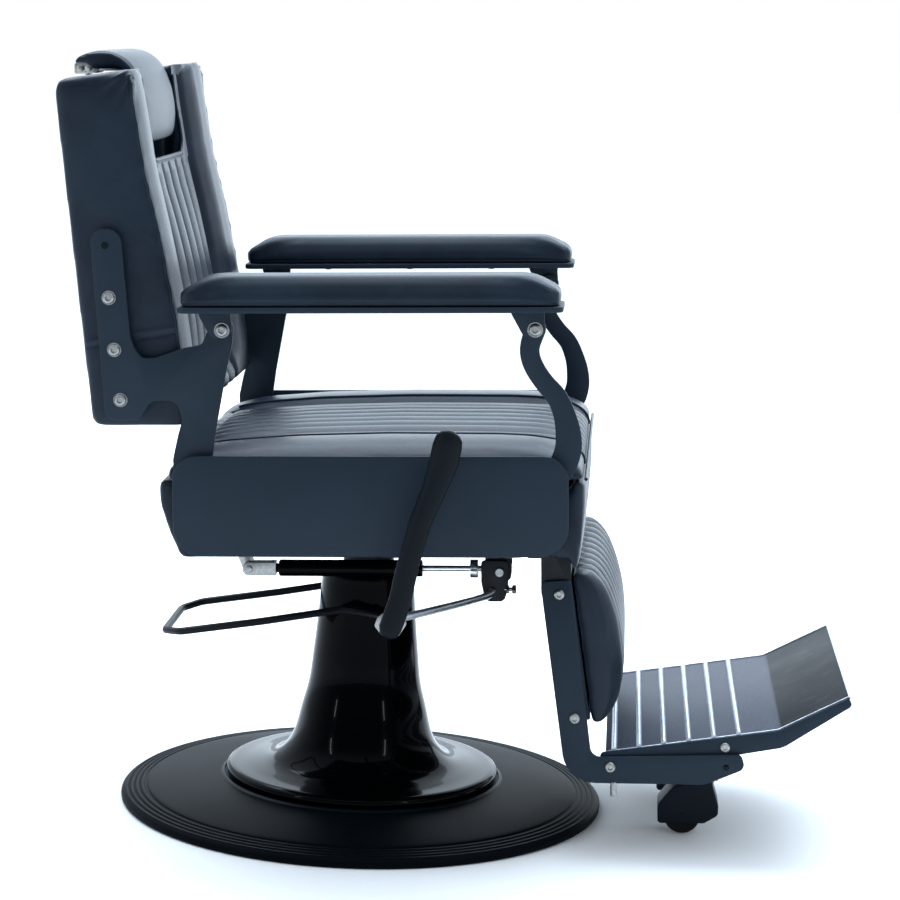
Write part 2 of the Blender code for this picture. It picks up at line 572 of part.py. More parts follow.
# ---------------------------------------------------------------- leg rest
def leg_rest():
    leg = [(252, 343, 8), (284, 83, 42), (460, 82, 30), (511, 103, 11), (505, 121, 6), (340, 117), (316, 117, 16),
           (291, 345, 6)]
    rods = [circle(*LEG_ROD_TOP, 4.4), circle(*LEG_ROD_MID, 4.4), circle(*FOOT_PIVOT, 4.4), circle(*STOP_ROD, 4.3)]
    for tag, side in SIDES:
        hang(plate("leg_plate_" + tag, rounded(leg, 5), *across(side, LEG_IN, LEG_OUT), rods), seat, SLATE)
    for name, (x, z) in (("leg_rod_top", LEG_ROD_TOP), ("leg_rod_mid", LEG_ROD_MID), ("foot_pivot_rod", FOOT_PIVOT)):
        hang(headed_rod(name, x, z, LEG_OUT + GAP, 4), seat, ZINC)
    x, z = STOP_ROD
    hang(rod("stop_rod", (x, -LEG_OUT, z), (x, LEG_OUT, z), 4, 16), seat, ZINC)

    board = rounded([(288, 350), (296.5, 350), (322, 152), (313.5, 152)])
    hang(plate("calf_board", board, -200, 200), seat, PLYWOOD)
    pad = [(297.2, 352, 3), (318, 355, 10), (335, 335, 40), (351, 290, 60), (359, 213, 120), (356, 165, 60),
           (341, 131, 10), (325.5, 134, 3)]
    hang(bevelled(solid(plate("calf_pad", rounded(pad), -210, 210)), 4), seat, LEATHER)


def foot_plate():
    ribs = 6
    first, pitch, slope = 346, 31.5, 0.138
    surface = lambda x: 121 + (x - 334) * slope
    top = [(334, surface(334))]
    for i in range(ribs):
        x = first + i * pitch
        top += [(x - 3, surface(x - 3)), (x - 2, surface(x) + 5), (x + 2, surface(x) + 5), (x + 3, surface(x + 3))]
    top += [(552, surface(552)), (641, 195), (642, 192), (553, surface(552) - 3), (334, surface(334) - 3)]
    half = FLANGE_IN - GAP
    hang(plate("foot_plate", [Vector(p) for p in top], -half, half), foot_axis, TREAD)
    flange = [(327, 92, 12), (327, 121, 6), (552, 151), (640, 194, 3), (645, 184, 5), (558, 129, 30), (511, 121, 8),
              (360, 92, 12)]
    holes = [circle(*FOOT_PIVOT, 4.4), circle(*FOOT_REST, 4.4)]
    for tag, side in SIDES:
        piece = plate("foot_flange_" + tag, rounded(flange), *across(side, FLANGE_IN, FLANGE_OUT), holes)
        hang(piece, foot_axis, SLATE)
    hang(headed_rod("foot_rest_rod", *FOOT_REST, FLANGE_OUT + GAP, 4, 6.5, 3), foot_axis, ZINC)


def casters():
    bar = block("caster_bar", (CASTER_X - 16, CASTER_X + 16), (-LEG_IN + GAP, LEG_IN - GAP), (86, 103))
    bores = [rod("stem_bore_" + tag, (CASTER_X, side * CASTER_OUT, 70), (CASTER_X, side * CASTER_OUT, 120), 5.9)
             for tag, side in SIDES]
    hang(cut(bar, *bores), seat, SATIN_BLACK)
    x, z = WHEEL
    outline = [(401, 22, 12), (401, -1, 3), (404, -3.6, 2), (462, -3.6, 5), (480, 7, 6), (480, 20, 6), (473, 48, 10),
               (471, 74, 3), (446, 74, 4), (443, 52, 10), (420, 46, 14)]
    tyre = [(3.9, 21.2), (WHEEL_RADIUS - 2, 21.2), (WHEEL_RADIUS, 19), (WHEEL_RADIUS, 3.5), (18, 2)]
    for tag, side in SIDES:
        y = side * CASTER_OUT
        fork = solid(plate("caster_fork_" + tag, rounded(outline), y - 24.5, y + 24.5))
        well = rod("wheel_well_" + tag, (x, y - 22, z), (x, y + 22, z), 26.5, 32)
        below = block("well_mouth_" + tag, (x - 26.5, x + 26.5), (y - 22, y + 22), (z - 30, z))
        stem = turned("stem_" + tag, [(0, 101), (5.5, 101), (5.5, 80), (12, 80), (13, 73), (13, 64), (0, 64)],
                      at=(CASTER_X, y, 0), sides=20)
        axle = rod("axle_" + tag, (x, y - 24, z), (x, y + 24, z), 3.5, 16)
        hang(join(cut(fork, well, below), stem, axle), caster_axes[tag], PLASTIC)
        profile = tyre + [(r, -h) for r, h in reversed(tyre)]
        wheel = turned("caster_wheel_" + tag, profile, at=(x, y, z), axis="Y", sides=24, ring=True)
        hang(wheel, wheel_axes[tag], PLASTIC)


pedestal()
pump()
seat_structure()
recline()
backrest()
arms()
leg_rest()
foot_plate()
casters()
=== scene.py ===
import json
import math

import bmesh
import bpy
import numpy as np
from mathutils import Matrix, Vector
from mathutils.bvhtree import BVHTree


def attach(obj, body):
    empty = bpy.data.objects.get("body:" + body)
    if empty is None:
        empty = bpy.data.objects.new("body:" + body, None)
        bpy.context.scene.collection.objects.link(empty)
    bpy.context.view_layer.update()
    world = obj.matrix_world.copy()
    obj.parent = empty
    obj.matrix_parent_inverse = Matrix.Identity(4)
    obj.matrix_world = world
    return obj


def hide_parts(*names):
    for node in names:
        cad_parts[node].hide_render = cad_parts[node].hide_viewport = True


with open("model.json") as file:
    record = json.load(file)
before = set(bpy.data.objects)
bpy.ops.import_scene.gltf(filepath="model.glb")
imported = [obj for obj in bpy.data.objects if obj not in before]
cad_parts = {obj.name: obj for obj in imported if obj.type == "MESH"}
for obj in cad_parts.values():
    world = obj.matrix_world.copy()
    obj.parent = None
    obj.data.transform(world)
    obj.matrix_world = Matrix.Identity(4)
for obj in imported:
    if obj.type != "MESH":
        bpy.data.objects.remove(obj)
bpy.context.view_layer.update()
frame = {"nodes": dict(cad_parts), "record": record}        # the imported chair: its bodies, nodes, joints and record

mm = 0.001
nodes = frame["nodes"]
leanDegrees = 2.63                                     # how far the seat leans back on its column
lean = Matrix.Rotation(-math.radians(leanDegrees), 4, "Y")
sides = {"R": -1, "L": 1}                              # the sitter's right is at -Y


class Wire:                                            # an output socket that takes part in arithmetic
    def __init__(self, finish, socket):
        self.finish = finish
        self.socket = socket

    def maths(self, operation, *terms):
        return self.finish.node("ShaderNodeMath", {"operation": operation}, terms)

    def __add__(self, other):
        return self.maths("ADD", self, other)

    def __sub__(self, other):
        return self.maths("SUBTRACT", self, other)

    def __rsub__(self, other):
        return self.maths("SUBTRACT", other, self)

    def __mul__(self, other):
        return self.maths("MULTIPLY", self, other)

    def __truediv__(self, other):
        return self.maths("DIVIDE", self, other)

    def __pow__(self, other):
        return self.maths("POWER", self, other)

    __radd__ = __add__
    __rmul__ = __mul__


class Finish:                                          # a material and its Principled shader
    def __init__(self, name, **fixed):
        self.material = bpy.data.materials.new(name)
        self.material.use_nodes = True
        self.tree = self.material.node_tree
        self.shader = self.tree.nodes["Principled BSDF"]
        self.where = self.node("ShaderNodeTexCoord", out="Object")
        for socket, value in fixed.items():
            self.feed(self.shader.inputs[socket.replace("_", " ")], value)

    def feed(self, socket, value):
        if isinstance(value, Wire):
            self.tree.links.new(value.socket, socket)
        else:
            socket.default_value = value

    def node(self, kind, settings={}, values={}, out=0):
        made = self.tree.nodes.new(kind)
        for key, value in settings.items():
            setattr(made, key, value)
        pairs = values.items() if isinstance(values, dict) else enumerate(values)
        for key, value in pairs:
            self.feed(made.inputs[key], value)
        return Wire(self, made.outputs[out])

    def noise(self, scale, detail=2.0, stretch=(1, 1, 1), rough=0.5):
        spot = self.where
        if stretch != (1, 1, 1):
            spot = self.node("ShaderNodeMapping", {}, {"Vector": self.where, "Scale": stretch})
        return self.node("ShaderNodeTexNoise", {}, {"Vector": spot, "Scale": scale, "Detail": detail,
                                                    "Roughness": rough}, "Fac")

    def cells(self, scale, feature="DISTANCE_TO_EDGE"):
        return self.node("ShaderNodeTexVoronoi", {"feature": feature}, {"Vector": self.where, "Scale": scale},
                         "Distance")

    def band(self, value, low, high):                  # 0 below low, 1 above high
        return self.node("ShaderNodeMapRange", {"interpolation_type": "SMOOTHSTEP"},
                         {"Value": value, "From Min": low, "From Max": high}, "Result")

    def mix(self, factor, dark, light):
        return self.node("ShaderNodeMix", {"data_type": "RGBA"}, {0: factor, 6: (*dark, 1), 7: (*light, 1)},
                         2)

    def bump(self, height, distance, strength=1.0, under=None):
        values = {"Height": height, "Distance": distance, "Strength": strength}
        if under:
            values["Normal"] = under
        return self.node("ShaderNodeBump", {}, values, "Normal")

    def set(self, **wires):
        for socket, value in wires.items():
            self.feed(self.shader.inputs[socket.replace("_", " ")], value)
        return self


# colours are linear
finishes = {}
leatherLook = {"dark": (0.0040, 0.0088, 0.0170), "light": (0.0076, 0.0160, 0.0290), "rough": 0.34,
               "grainPerMetre": 650, "shine": 0.20}
coatLook = {"dark": (0.0080, 0.0160, 0.0268), "light": (0.0120, 0.0216, 0.0345), "rough": 0.50,
            "shine": 0.18}


def makeLeather(name, rough, creases):
    skin = Finish(name, Specular_IOR_Level=leatherLook["shine"])
    clouds = skin.noise(9, 4)
    grain = skin.cells(leatherLook["grainPerMetre"])
    pores = skin.noise(2600, 2)
    folds = skin.noise(60, 5, rough=0.6)
    # the colour follows random clouds and, in part, the fold noise that also drives the crease bump, so the crease
    # hollows carry painted shade
    shade = skin.band(clouds * 0.7 + folds * 0.3, 0.35, 0.65)
    soft = skin.bump(folds, creases * mm)
    fine = skin.bump(skin.band(grain, 0.0, 0.25), 0.10 * mm, 0.6, soft)
    skin.set(Base_Color=skin.mix(shade, leatherLook["dark"], leatherLook["light"]),
             Roughness=rough + clouds * 0.10 - grain * 0.08,
             Normal=skin.bump(pores, 0.03 * mm, 0.5, fine))
    return skin


def makeCoat(name, dark, light, rough, orangePeel=0.05):
    coat = Finish(name, Specular_IOR_Level=coatLook["shine"])
    clouds = coat.noise(5, 3)
    speckle = coat.noise(1800, 2)
    rub = coat.band(coat.noise(26, 5), 0.60, 0.75)
    paint = coat.mix(coat.band(clouds, 0.35, 0.65) * 0.6 + speckle * 0.4, dark, light)
    coat.set(Base_Color=paint, Roughness=rough + clouds * 0.08 - rub * 0.06,
             Normal=coat.bump(speckle, orangePeel * mm, 0.6))
    return coat


def makeGloss(name, base, rough, coatWeight, shine):
    gloss = Finish(name, Coat_Weight=coatWeight, Coat_Roughness=0.03, Coat_IOR=1.15, Specular_IOR_Level=shine)
    dust = gloss.band(gloss.noise(420, 3), 0.62, 0.80)
    clouds = gloss.noise(7, 4)
    lighter = tuple(c * 1.6 + 0.002 for c in base)
    gloss.set(Base_Color=gloss.mix(dust * 0.6 + clouds * 0.2, base, lighter),
              Roughness=rough + clouds * 0.06 + dust * 0.10,
              Normal=gloss.bump(gloss.noise(55, 2), 0.05 * mm, 0.3))
    return gloss


def makeMetal(name, dark, light, rough, scratch=(1, 1, 1), lines=300, smudges=0.15):
    metal = Finish(name, Metallic=1.0)
    brushed = metal.noise(lines, 3, scratch)
    smears = metal.noise(22, 4)
    metal.set(Base_Color=metal.mix(metal.band(brushed * 0.6 + smears * 0.4, 0.3, 0.7), dark, light),
              Roughness=rough + smears * smudges + brushed * 0.06,
              Normal=metal.bump(brushed, 0.02 * mm, 0.5))
    return metal


def makePlain(name, dark, light, rough, grain=900, depth=0.05):
    plain = Finish(name, Specular_IOR_Level=0.1)
    speckle = plain.noise(grain, 3)
    clouds = plain.noise(12, 3)
    plain.set(Base_Color=plain.mix(clouds, dark, light), Roughness=rough + clouds * 0.1,
              Normal=plain.bump(speckle, depth * mm, 0.5))
    return plain


def makeTread():
    tread = Finish("tread", Metallic=0.20, Specular_IOR_Level=0.06)
    place = tread.node("ShaderNodeSeparateXYZ", {}, {"Vector": tread.where}, "X")
    toe = tread.band(place, 0.546, 0.550)              # the turned-up toe is darker, with scuff marks
    fine = tread.noise(900, 3, (1, 0.05, 1))
    scuffs = tread.band(tread.noise(52, 6, (0.4, 1.1, 1), 0.7), 0.52, 0.72)
    smears = tread.noise(14, 4)
    flat = tread.mix(tread.band(fine * 0.5 + smears * 0.5, 0.3, 0.7), (0.036, 0.042, 0.058),
                     (0.056, 0.064, 0.084))
    toeColour = tread.mix(scuffs, (0.006, 0.007, 0.009), (0.022, 0.025, 0.031))
    blend = tread.node("ShaderNodeMix", {"data_type": "RGBA"}, {0: toe, 6: flat, 7: toeColour}, 2)
    tread.set(Base_Color=blend, Roughness=0.42 + smears * 0.16 + toe * 0.06,
              Normal=tread.bump(fine, 0.02 * mm, 0.5))
    return tread


def makePlywood():
    wood = Finish("plywood")
    grain = wood.noise(60, 5, (0.15, 2.2, 6.0))
    plies = wood.node("ShaderNodeTexWave", {"bands_direction": "Z"}, {"Vector": wood.where, "Scale": 120.0,
                      "Distortion": 0.6}, "Fac")
    wood.set(Base_Color=wood.mix(grain * 0.6 + plies * 0.4, (0.26, 0.16, 0.08), (0.55, 0.40, 0.24)),
             Roughness=0.6 + grain * 0.15, Normal=wood.bump(grain, 0.15 * mm, 0.5))
    return wood


finishes["leather"] = makeLeather("leather", leatherLook["rough"], 0.35)
finishes["padLeather"] = makeLeather("padLeather", 0.38, 0.25)
finishes["slateCoat"] = makeCoat("slateCoat", coatLook["dark"], coatLook["light"], coatLook["rough"])
finishes["blackCoat"] = makeCoat("blackCoat", (0.004, 0.005, 0.007), (0.009, 0.010, 0.013), 0.42)
finishes["baseCoat"] = makeGloss("baseCoat", (0.0009, 0.0020, 0.0036), 0.46, 0.02, 0.025)
finishes["gloss"] = makeGloss("gloss", (0.0006, 0.0008, 0.0012), 0.14, 0.45, 0.015)
finishes["zinc"] = makeMetal("zinc", (0.24, 0.24, 0.235), (0.38, 0.375, 0.36), 0.26)
finishes["chrome"] = makeMetal("chrome", (0.78, 0.80, 0.83), (0.94, 0.95, 0.97), 0.28, lines=80, smudges=0.06)
# a much lighter copy of the tread metal: painted highlight for the rib crests and the plate's edge lines
finishes["paintedHighlightMetal"] = makeMetal("paintedHighlightMetal", (0.30, 0.33, 0.39), (0.60, 0.64, 0.70), 0.34, lines=220)
finishes["tread"] = makeTread()
finishes["plastic"] = makePlain("plastic", (0.0035, 0.0065, 0.0110), (0.0060, 0.0105, 0.0165), 0.45)
finishes["rubber"] = makePlain("rubber", (0.0012, 0.0030, 0.0050), (0.0028, 0.0058, 0.0088), 0.40)
finishes["tyre"] = makePlain("tyre", (0.004, 0.004, 0.005), (0.009, 0.009, 0.010), 0.5)
finishes["plywood"] = makePlywood()
nodeFinish = {"base_black": "baseCoat", "gloss_black": "gloss", "slate_steel": "slateCoat",
              "frame_black": "blackCoat", "leather": "leather", "plywood": "plywood", "chrome": "chrome",
              "zinc": "zinc", "tread": "tread", "plastic": "plastic", "tyre": "tyre"}
nodeSlot = {}
for part in frame["record"]["subparts"]:
    nodeSlot[part["node"]] = part["material_slot"]
    mesh = nodes[part["node"]].data
    mesh.materials.clear()
    mesh.materials.append(finishes[nodeFinish[part["material_slot"]]].material)
bodies = frame["record"]["behaviour"]["bodies"]
nodeBody = {node: body for body, members in bodies.items() for node in members}
print("finishes made:", len(finishes))


# shapes are drawn in millimetres in the upright seat frame, then tipped back with the seat

def across(side, low, high):
    return (low, high) if side > 0 else (-high, -low)


def linked(name, data):                                # an object in the scene
    thing = bpy.data.objects.new(name, data)
    bpy.context.scene.collection.objects.link(thing)
    return thing


def meshFrom(name, bm):
    mesh = bpy.data.meshes.new(name)
    bm.to_mesh(mesh)
    bm.free()
    return mesh


def pieceName(node, ending):                           # pump_ram becomes pumpRam and an ending
    first, *rest = node.split("_")
    return first + "".join(word.capitalize() for word in rest) + ending


def makePiece(name, bm, body, finish, replaced=(), leaned=True, angle=35):
    bm.transform((lean if leaned else Matrix.Identity(4)) @ Matrix.Scale(mm, 4))
    mesh = meshFrom(name, bm)
    mesh.shade_smooth()
    mesh.set_sharp_from_angle(angle=math.radians(angle))
    mesh.materials.append(finishes[finish].material)
    piece = linked(name, mesh)
    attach(piece, body)
    if replaced:
        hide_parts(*replaced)
    return piece


def vertsIn(geom):
    return [part for part in geom if isinstance(part, bmesh.types.BMVert)]


def pushThrough(bm, distance):                         # a flat face becomes a slab along Y
    pushed = bmesh.ops.extrude_face_region(bm, geom=bm.faces[:])["geom"]
    bmesh.ops.translate(bm, vec=(0, distance, 0), verts=vertsIn(pushed))
    bmesh.ops.recalc_face_normals(bm, faces=bm.faces[:])


def box(size, middle):
    bm = bmesh.new()
    bmesh.ops.create_cube(bm, size=1)
    bmesh.ops.scale(bm, vec=size, verts=bm.verts[:])
    bmesh.ops.translate(bm, vec=middle, verts=bm.verts[:])
    return bm


def roundOff(bm, edges, width, segments, clamp=False):
    bmesh.ops.bevel(bm, geom=edges, offset=width, offset_type="OFFSET", segments=segments, profile=0.5,
                    affect="EDGES", material=-1, clamp_overlap=clamp)


def edgesAlong(bm, axis):                              # the edges that have a length along X, Y or Z
    return [e for e in bm.edges if abs(e.verts[0].co[axis] - e.verts[1].co[axis]) > 1]


def endEdges(bm):                                      # the edges that lie in a plane across Y
    return [e for e in bm.edges if abs(e.verts[0].co.y - e.verts[1].co.y) < 1e-3]


def soften(bm, width, segments=2, angle=40):           # rounds every sharp edge
    sharp = [e for e in bm.edges if len(e.link_faces) == 2 and e.calc_face_angle(0) > math.radians(angle)]
    roundOff(bm, sharp, width, segments, True)


def slab(outline, low, high, steps=6):                 # outline of (x, z, corner radius), low to high along Y
    bm = bmesh.new()
    bm.faces.new([bm.verts.new((point[0], low, point[1])) for point in outline])
    pushThrough(bm, high - low)
    count = len(outline)
    for i, point in enumerate(outline):
        if len(point) < 3:
            continue
        here, before, after = (Vector(outline[k % count][:2]) for k in (i, i - 1, i + 1))
        opening = (before - here).angle(after - here) / 2
        reach = min(point[2] / math.tan(opening), 0.47 * (before - here).length, 0.47 * (after - here).length)
        corner = [e for e in bm.edges
                  if all(abs(v.co.x - here.x) + abs(v.co.z - here.y) < 1e-3 for v in e.verts)]
        if corner and reach > 0.05:
            roundOff(bm, corner, reach, steps)
    bmesh.ops.recalc_face_normals(bm, faces=bm.faces[:])
    return bm


def smoothRun(points, steps=4):                        # a smooth line through points of any size
    run = []
    last = len(points) - 1
    for i in range(last):
        a, b, c, d = (Vector(points[min(max(k, 0), last)]) for k in (i - 1, i, i + 1, i + 2))
        for t in (s / steps for s in range(steps)):
            run.append(0.5 * (2 * b + (c - a) * t + (2 * a - 5 * b + 4 * c - d) * t ** 2
                              + (3 * b - a - 3 * c + d) * t ** 3))
    return run + [Vector(points[-1])]


def band(stations, low, high, steps=4, cap=10):        # stations of (x, z, half width), with round ends
    run = smoothRun(stations, steps)
    bm = bmesh.new()
    rows = []
    for i, here in enumerate(run):
        before, after = run[max(i - 1, 0)], run[min(i + 1, len(run) - 1)]
        along = Vector((after.x - before.x, after.y - before.y)).normalized()
        side = Vector((-along.y, along.x)) * here.z
        rows.append([bm.verts.new((here.x + side.x * k, low, here.y + side.y * k)) for k in (1, -1)])
    for one, two in zip(rows, rows[1:]):
        bm.faces.new((one[0], one[1], two[1], two[0]))
    for here, other, row in ((run[0], run[1], rows[0]), (run[-1], run[-2], rows[-1])):
        outward = (here - other).to_2d().normalized() * here.z
        start = Vector((row[0].co.x - here.x, row[0].co.z - here.y))
        arc = [here.to_2d() + start * math.cos(a) + outward * math.sin(a)
               for a in (math.pi * k / cap for k in range(1, cap))]
        bm.faces.new([row[0], *(bm.verts.new((p.x, low, p.y)) for p in arc), row[1]])
    bmesh.ops.recalc_face_normals(bm, faces=bm.faces[:])
    pushThrough(bm, high - low)
    return bm


def turn(profile, steps=96):                           # profile of (radius, height) spun round Z
    bm = bmesh.new()
    verts = [bm.verts.new((r, 0, z)) for r, z in profile]
    edges = [bm.edges.new(pair) for pair in zip(verts, verts[1:])]
    bmesh.ops.spin(bm, geom=verts + edges, cent=(0, 0, 0), axis=(0, 0, 1), angle=2 * math.pi, steps=steps,
                   use_merge=True, use_duplicate=False)
    bmesh.ops.remove_doubles(bm, verts=bm.verts[:], dist=0.001)
    bmesh.ops.recalc_face_normals(bm, faces=bm.faces[:])
    return bm


def loft(rings, sides=24):                             # a skin over rings, each a matrix for a unit circle
    bm = bmesh.new()
    loops = []
    for ring in rings:
        made = bmesh.ops.create_circle(bm, cap_ends=False, segments=sides, radius=1, matrix=ring)
        loops.append({e for v in made["verts"] for e in v.link_edges})
    for one, two in zip(loops, loops[1:]):
        bmesh.ops.bridge_loops(bm, edges=list(one | two))
    bmesh.ops.holes_fill(bm, edges=bm.edges[:], sides=0)
    bmesh.ops.recalc_face_normals(bm, faces=bm.faces[:])
    return bm


def aimed(place, direction):                           # turns +Z of a shape to a direction
    return Matrix.Translation(place) @ Vector(direction).to_track_quat("Z", "Y").to_matrix().to_4x4()


def joined(*parts):
    whole = parts[0]
    for part in parts[1:]:
        spare = meshFrom("spare", part)
        whole.from_mesh(spare)
        bpy.data.meshes.remove(spare)
    return whole


def buttonHead(radius, height, shank):                 # a socket button-head screw along +Z, seated at z = 0
    dome = [(radius * 0.5, 0), (radius, 0), (radius, height * 0.3), (radius * 0.93, height * 0.62),
            (radius * 0.78, height * 0.88), (radius * 0.58, height)]
    bm = turn([(radius * 0.5, -shank), *dome], 28)
    rim = [e for e in bm.edges if e.is_boundary and e.verts[0].co.z > 0]
    hexagon = bmesh.ops.create_circle(bm, cap_ends=False, segments=6, radius=radius * 0.5,
                                      matrix=Matrix.Translation((0, 0, height * 0.97)))["verts"]
    sides = {e for v in hexagon for e in v.link_edges}
    bmesh.ops.bridge_loops(bm, edges=rim + list(sides))
    deeper = bmesh.ops.extrude_edge_only(bm, edges=list(sides))["geom"]
    bmesh.ops.translate(bm, vec=(0, 0, -height * 0.6), verts=vertsIn(deeper))
    bmesh.ops.holes_fill(bm, edges=bm.edges[:], sides=0)
    bmesh.ops.recalc_face_normals(bm, faces=bm.faces[:])
    return bm


def screwAt(x, z, side, reach, radius=7.5, height=4.4, shank=5):
    bm = buttonHead(radius, height, shank)
    bm.transform(aimed((x, side * reach, z), (0, side, 0)))
    return bm


def washerAt(x, z, side, reach, radius, thick):
    bm = turn([(radius * 0.5, 0), (radius - 0.4, 0), (radius, 0.4), (radius, thick - 0.4),
               (radius - 0.4, thick), (radius * 0.5, thick), (radius * 0.5, 0)], 36)
    bm.transform(aimed((x, side * reach, z), (0, side, 0)))
    return bm


def settle(piece):                                     # applies the modifiers of a piece
    solved = bpy.data.meshes.new_from_object(piece.evaluated_get(bpy.context.evaluated_depsgraph_get()))
    piece.modifiers.clear()
    piece.data = solved


def placesOf(mesh):
    spots = np.empty(len(mesh.vertices) * 3, np.float32)
    mesh.vertices.foreach_get("co", spots)
    return spots.reshape(-1, 3).astype(float)


def normalsOf(mesh):
    normals = np.empty(len(mesh.vertices) * 3, np.float32)
    mesh.vertices.foreach_get("normal", normals)
    return normals.reshape(-1, 3).astype(float)


def putPlaces(mesh, spots):
    mesh.vertices.foreach_set("co", spots.astype(np.float32).ravel())
    mesh.update()


def ease(value, low, high):
    t = np.clip((value - low) / (high - low), 0, 1)
    return t * t * (3 - 2 * t)


def furrows(spots, half, count, depth):                # how far sewn channels pull the cover in
    pitch = 2 * half / count
    inside = np.abs(np.sin(np.pi * (spots + half) / pitch)) ** 0.6
    beyond = np.clip((np.abs(spots) - half) / (pitch * 0.55), 0, 1)
    return depth * (1 - np.where(np.abs(spots) < half, inside, np.sin(beyond * np.pi / 2) ** 0.6))


def groove(distance, depth, width):
    return depth * np.exp(-(distance / width) ** 2)


def puff(name, bm, body, look, replaced, sewn=None, shape=None, finish="leather"):
    bm.transform(Matrix.Scale(mm, 4))
    piece = linked(name, meshFrom(name, bm))
    voxels = piece.modifiers.new("voxels", "REMESH")
    voxels.mode = "VOXEL"
    voxels.voxel_size = look["voxel"] * mm
    settle(piece)
    flat = placesOf(piece.data)
    if look["cap"]:                 # the stuffing swells against its sewn edges
        held = np.nonzero(sewn(*(flat / mm).T))[0] if sewn else np.array([], int)
        group = piece.vertex_groups.new(name="sewn")
        group.add([int(i) for i in held], 1.0, "REPLACE")
        cloth = piece.modifiers.new("stuffing", "CLOTH")
        cloth.settings.quality = 4
        cloth.settings.use_pressure = True
        cloth.settings.uniform_pressure_force = look["pressure"]
        cloth.settings.effector_weights.gravity = 0
        cloth.settings.vertex_group_mass = "sewn"
        for step in range(1, 21):
            bpy.context.scene.frame_set(step)
        swollen = placesOf(piece.evaluated_get(bpy.context.evaluated_depsgraph_get()).data)
        piece.modifiers.clear()
        piece.vertex_groups.clear()
        bpy.context.scene.frame_set(1)
        push = swollen - flat
        reach = np.linalg.norm(push, axis=1, keepdims=True)
        push *= np.minimum(1, look["cap"] * mm / np.maximum(reach, 1e-9))
        swell = float(np.minimum(reach, look["cap"] * mm).mean()) / mm
        print(name, "swells by", round(swell, 1), "mm on average")
        putPlaces(piece.data, flat + push)
    bm = bmesh.new()
    bm.from_mesh(piece.data)
    for _ in range(look["relax"]):
        bmesh.ops.smooth_vert(bm, verts=bm.verts[:], factor=0.5, use_axis_x=True, use_axis_y=True,
                              use_axis_z=True)
    bm.to_mesh(piece.data)
    bm.free()
    finer = piece.modifiers.new("finer", "SUBSURF")
    finer.levels = finer.render_levels = 1
    settle(piece)
    if shape:
        putPlaces(piece.data, shape(placesOf(piece.data) / mm, normalsOf(piece.data)) * mm)
    piece.data.transform(lean)
    piece.data.shade_smooth()
    piece.data.materials.clear()
    piece.data.materials.append(finishes[finish].material)
    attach(piece, body)
    if replaced:
        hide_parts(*replaced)
    print(name, "made:", len(piece.data.polygons), "faces")
    return piece


def pipe(name, points, radius, body, finish, hug=None, leaned=True, replaced=(), sink=0.3, sides=3):
    turnBack = lean if leaned else Matrix.Identity(4)
    run = [turnBack @ (Vector(p) * mm) for p in points]
    if hug:                                            # the line lies on the cover of another piece
        tree = BVHTree.FromPolygons([v.co for v in hug.data.vertices],
                                    [p.vertices[:] for p in hug.data.polygons])
        found = [tree.find_nearest(p) for p in run]
        run = [spot + normal * radius * mm * sink for spot, normal, _, _ in found]
    curve = bpy.data.curves.new(name, "CURVE")
    curve.dimensions = "3D"
    curve.bevel_depth = radius * mm
    curve.bevel_resolution = sides
    curve.use_fill_caps = True
    spline = curve.splines.new("POLY")
    spline.points.add(len(run) - 1)
    for point, spot in zip(spline.points, run):
        point.co = (*spot, 1)
    drawn = linked(name + "Line", curve)
    mesh = bpy.data.meshes.new_from_object(drawn.evaluated_get(bpy.context.evaluated_depsgraph_get()))
    bpy.data.objects.remove(drawn)
    bm = bmesh.new()
    bm.from_mesh(mesh)
    bmesh.ops.remove_doubles(bm, verts=bm.verts[:], dist=1e-5)
    bmesh.ops.recalc_face_normals(bm, faces=bm.faces[:])
    bm.transform(Matrix.Scale(1 / mm, 4))
    return makePiece(name, bm, body, finish, replaced, leaned=False, angle=50)


def polish(node, width=0.5, angle=38):                 # a CAD part, its edges broken and its rounds smooth
    bm = bmesh.new()
    bm.from_mesh(nodes[node].data)
    bm.transform(Matrix.Scale(1 / mm, 4))
    bmesh.ops.remove_doubles(bm, verts=bm.verts[:], dist=0.01)
    bmesh.ops.dissolve_limit(bm, angle_limit=math.radians(1), use_dissolve_boundaries=False,
                             verts=bm.verts[:], edges=bm.edges[:])
    if width:
        soften(bm, width, 2, 50)
    slot = nodeSlot[node]
    makePiece(pieceName(node, "Finished"), bm, nodeBody[node], nodeFinish[slot], [node], leaned=False,
              angle=angle)


# pedestal, column cover and pump

baseLook = {"radius": 324, "rings": 4, "ringPitch": 7.0, "ringStep": 1.25}
coverLook = {"flange": 183}


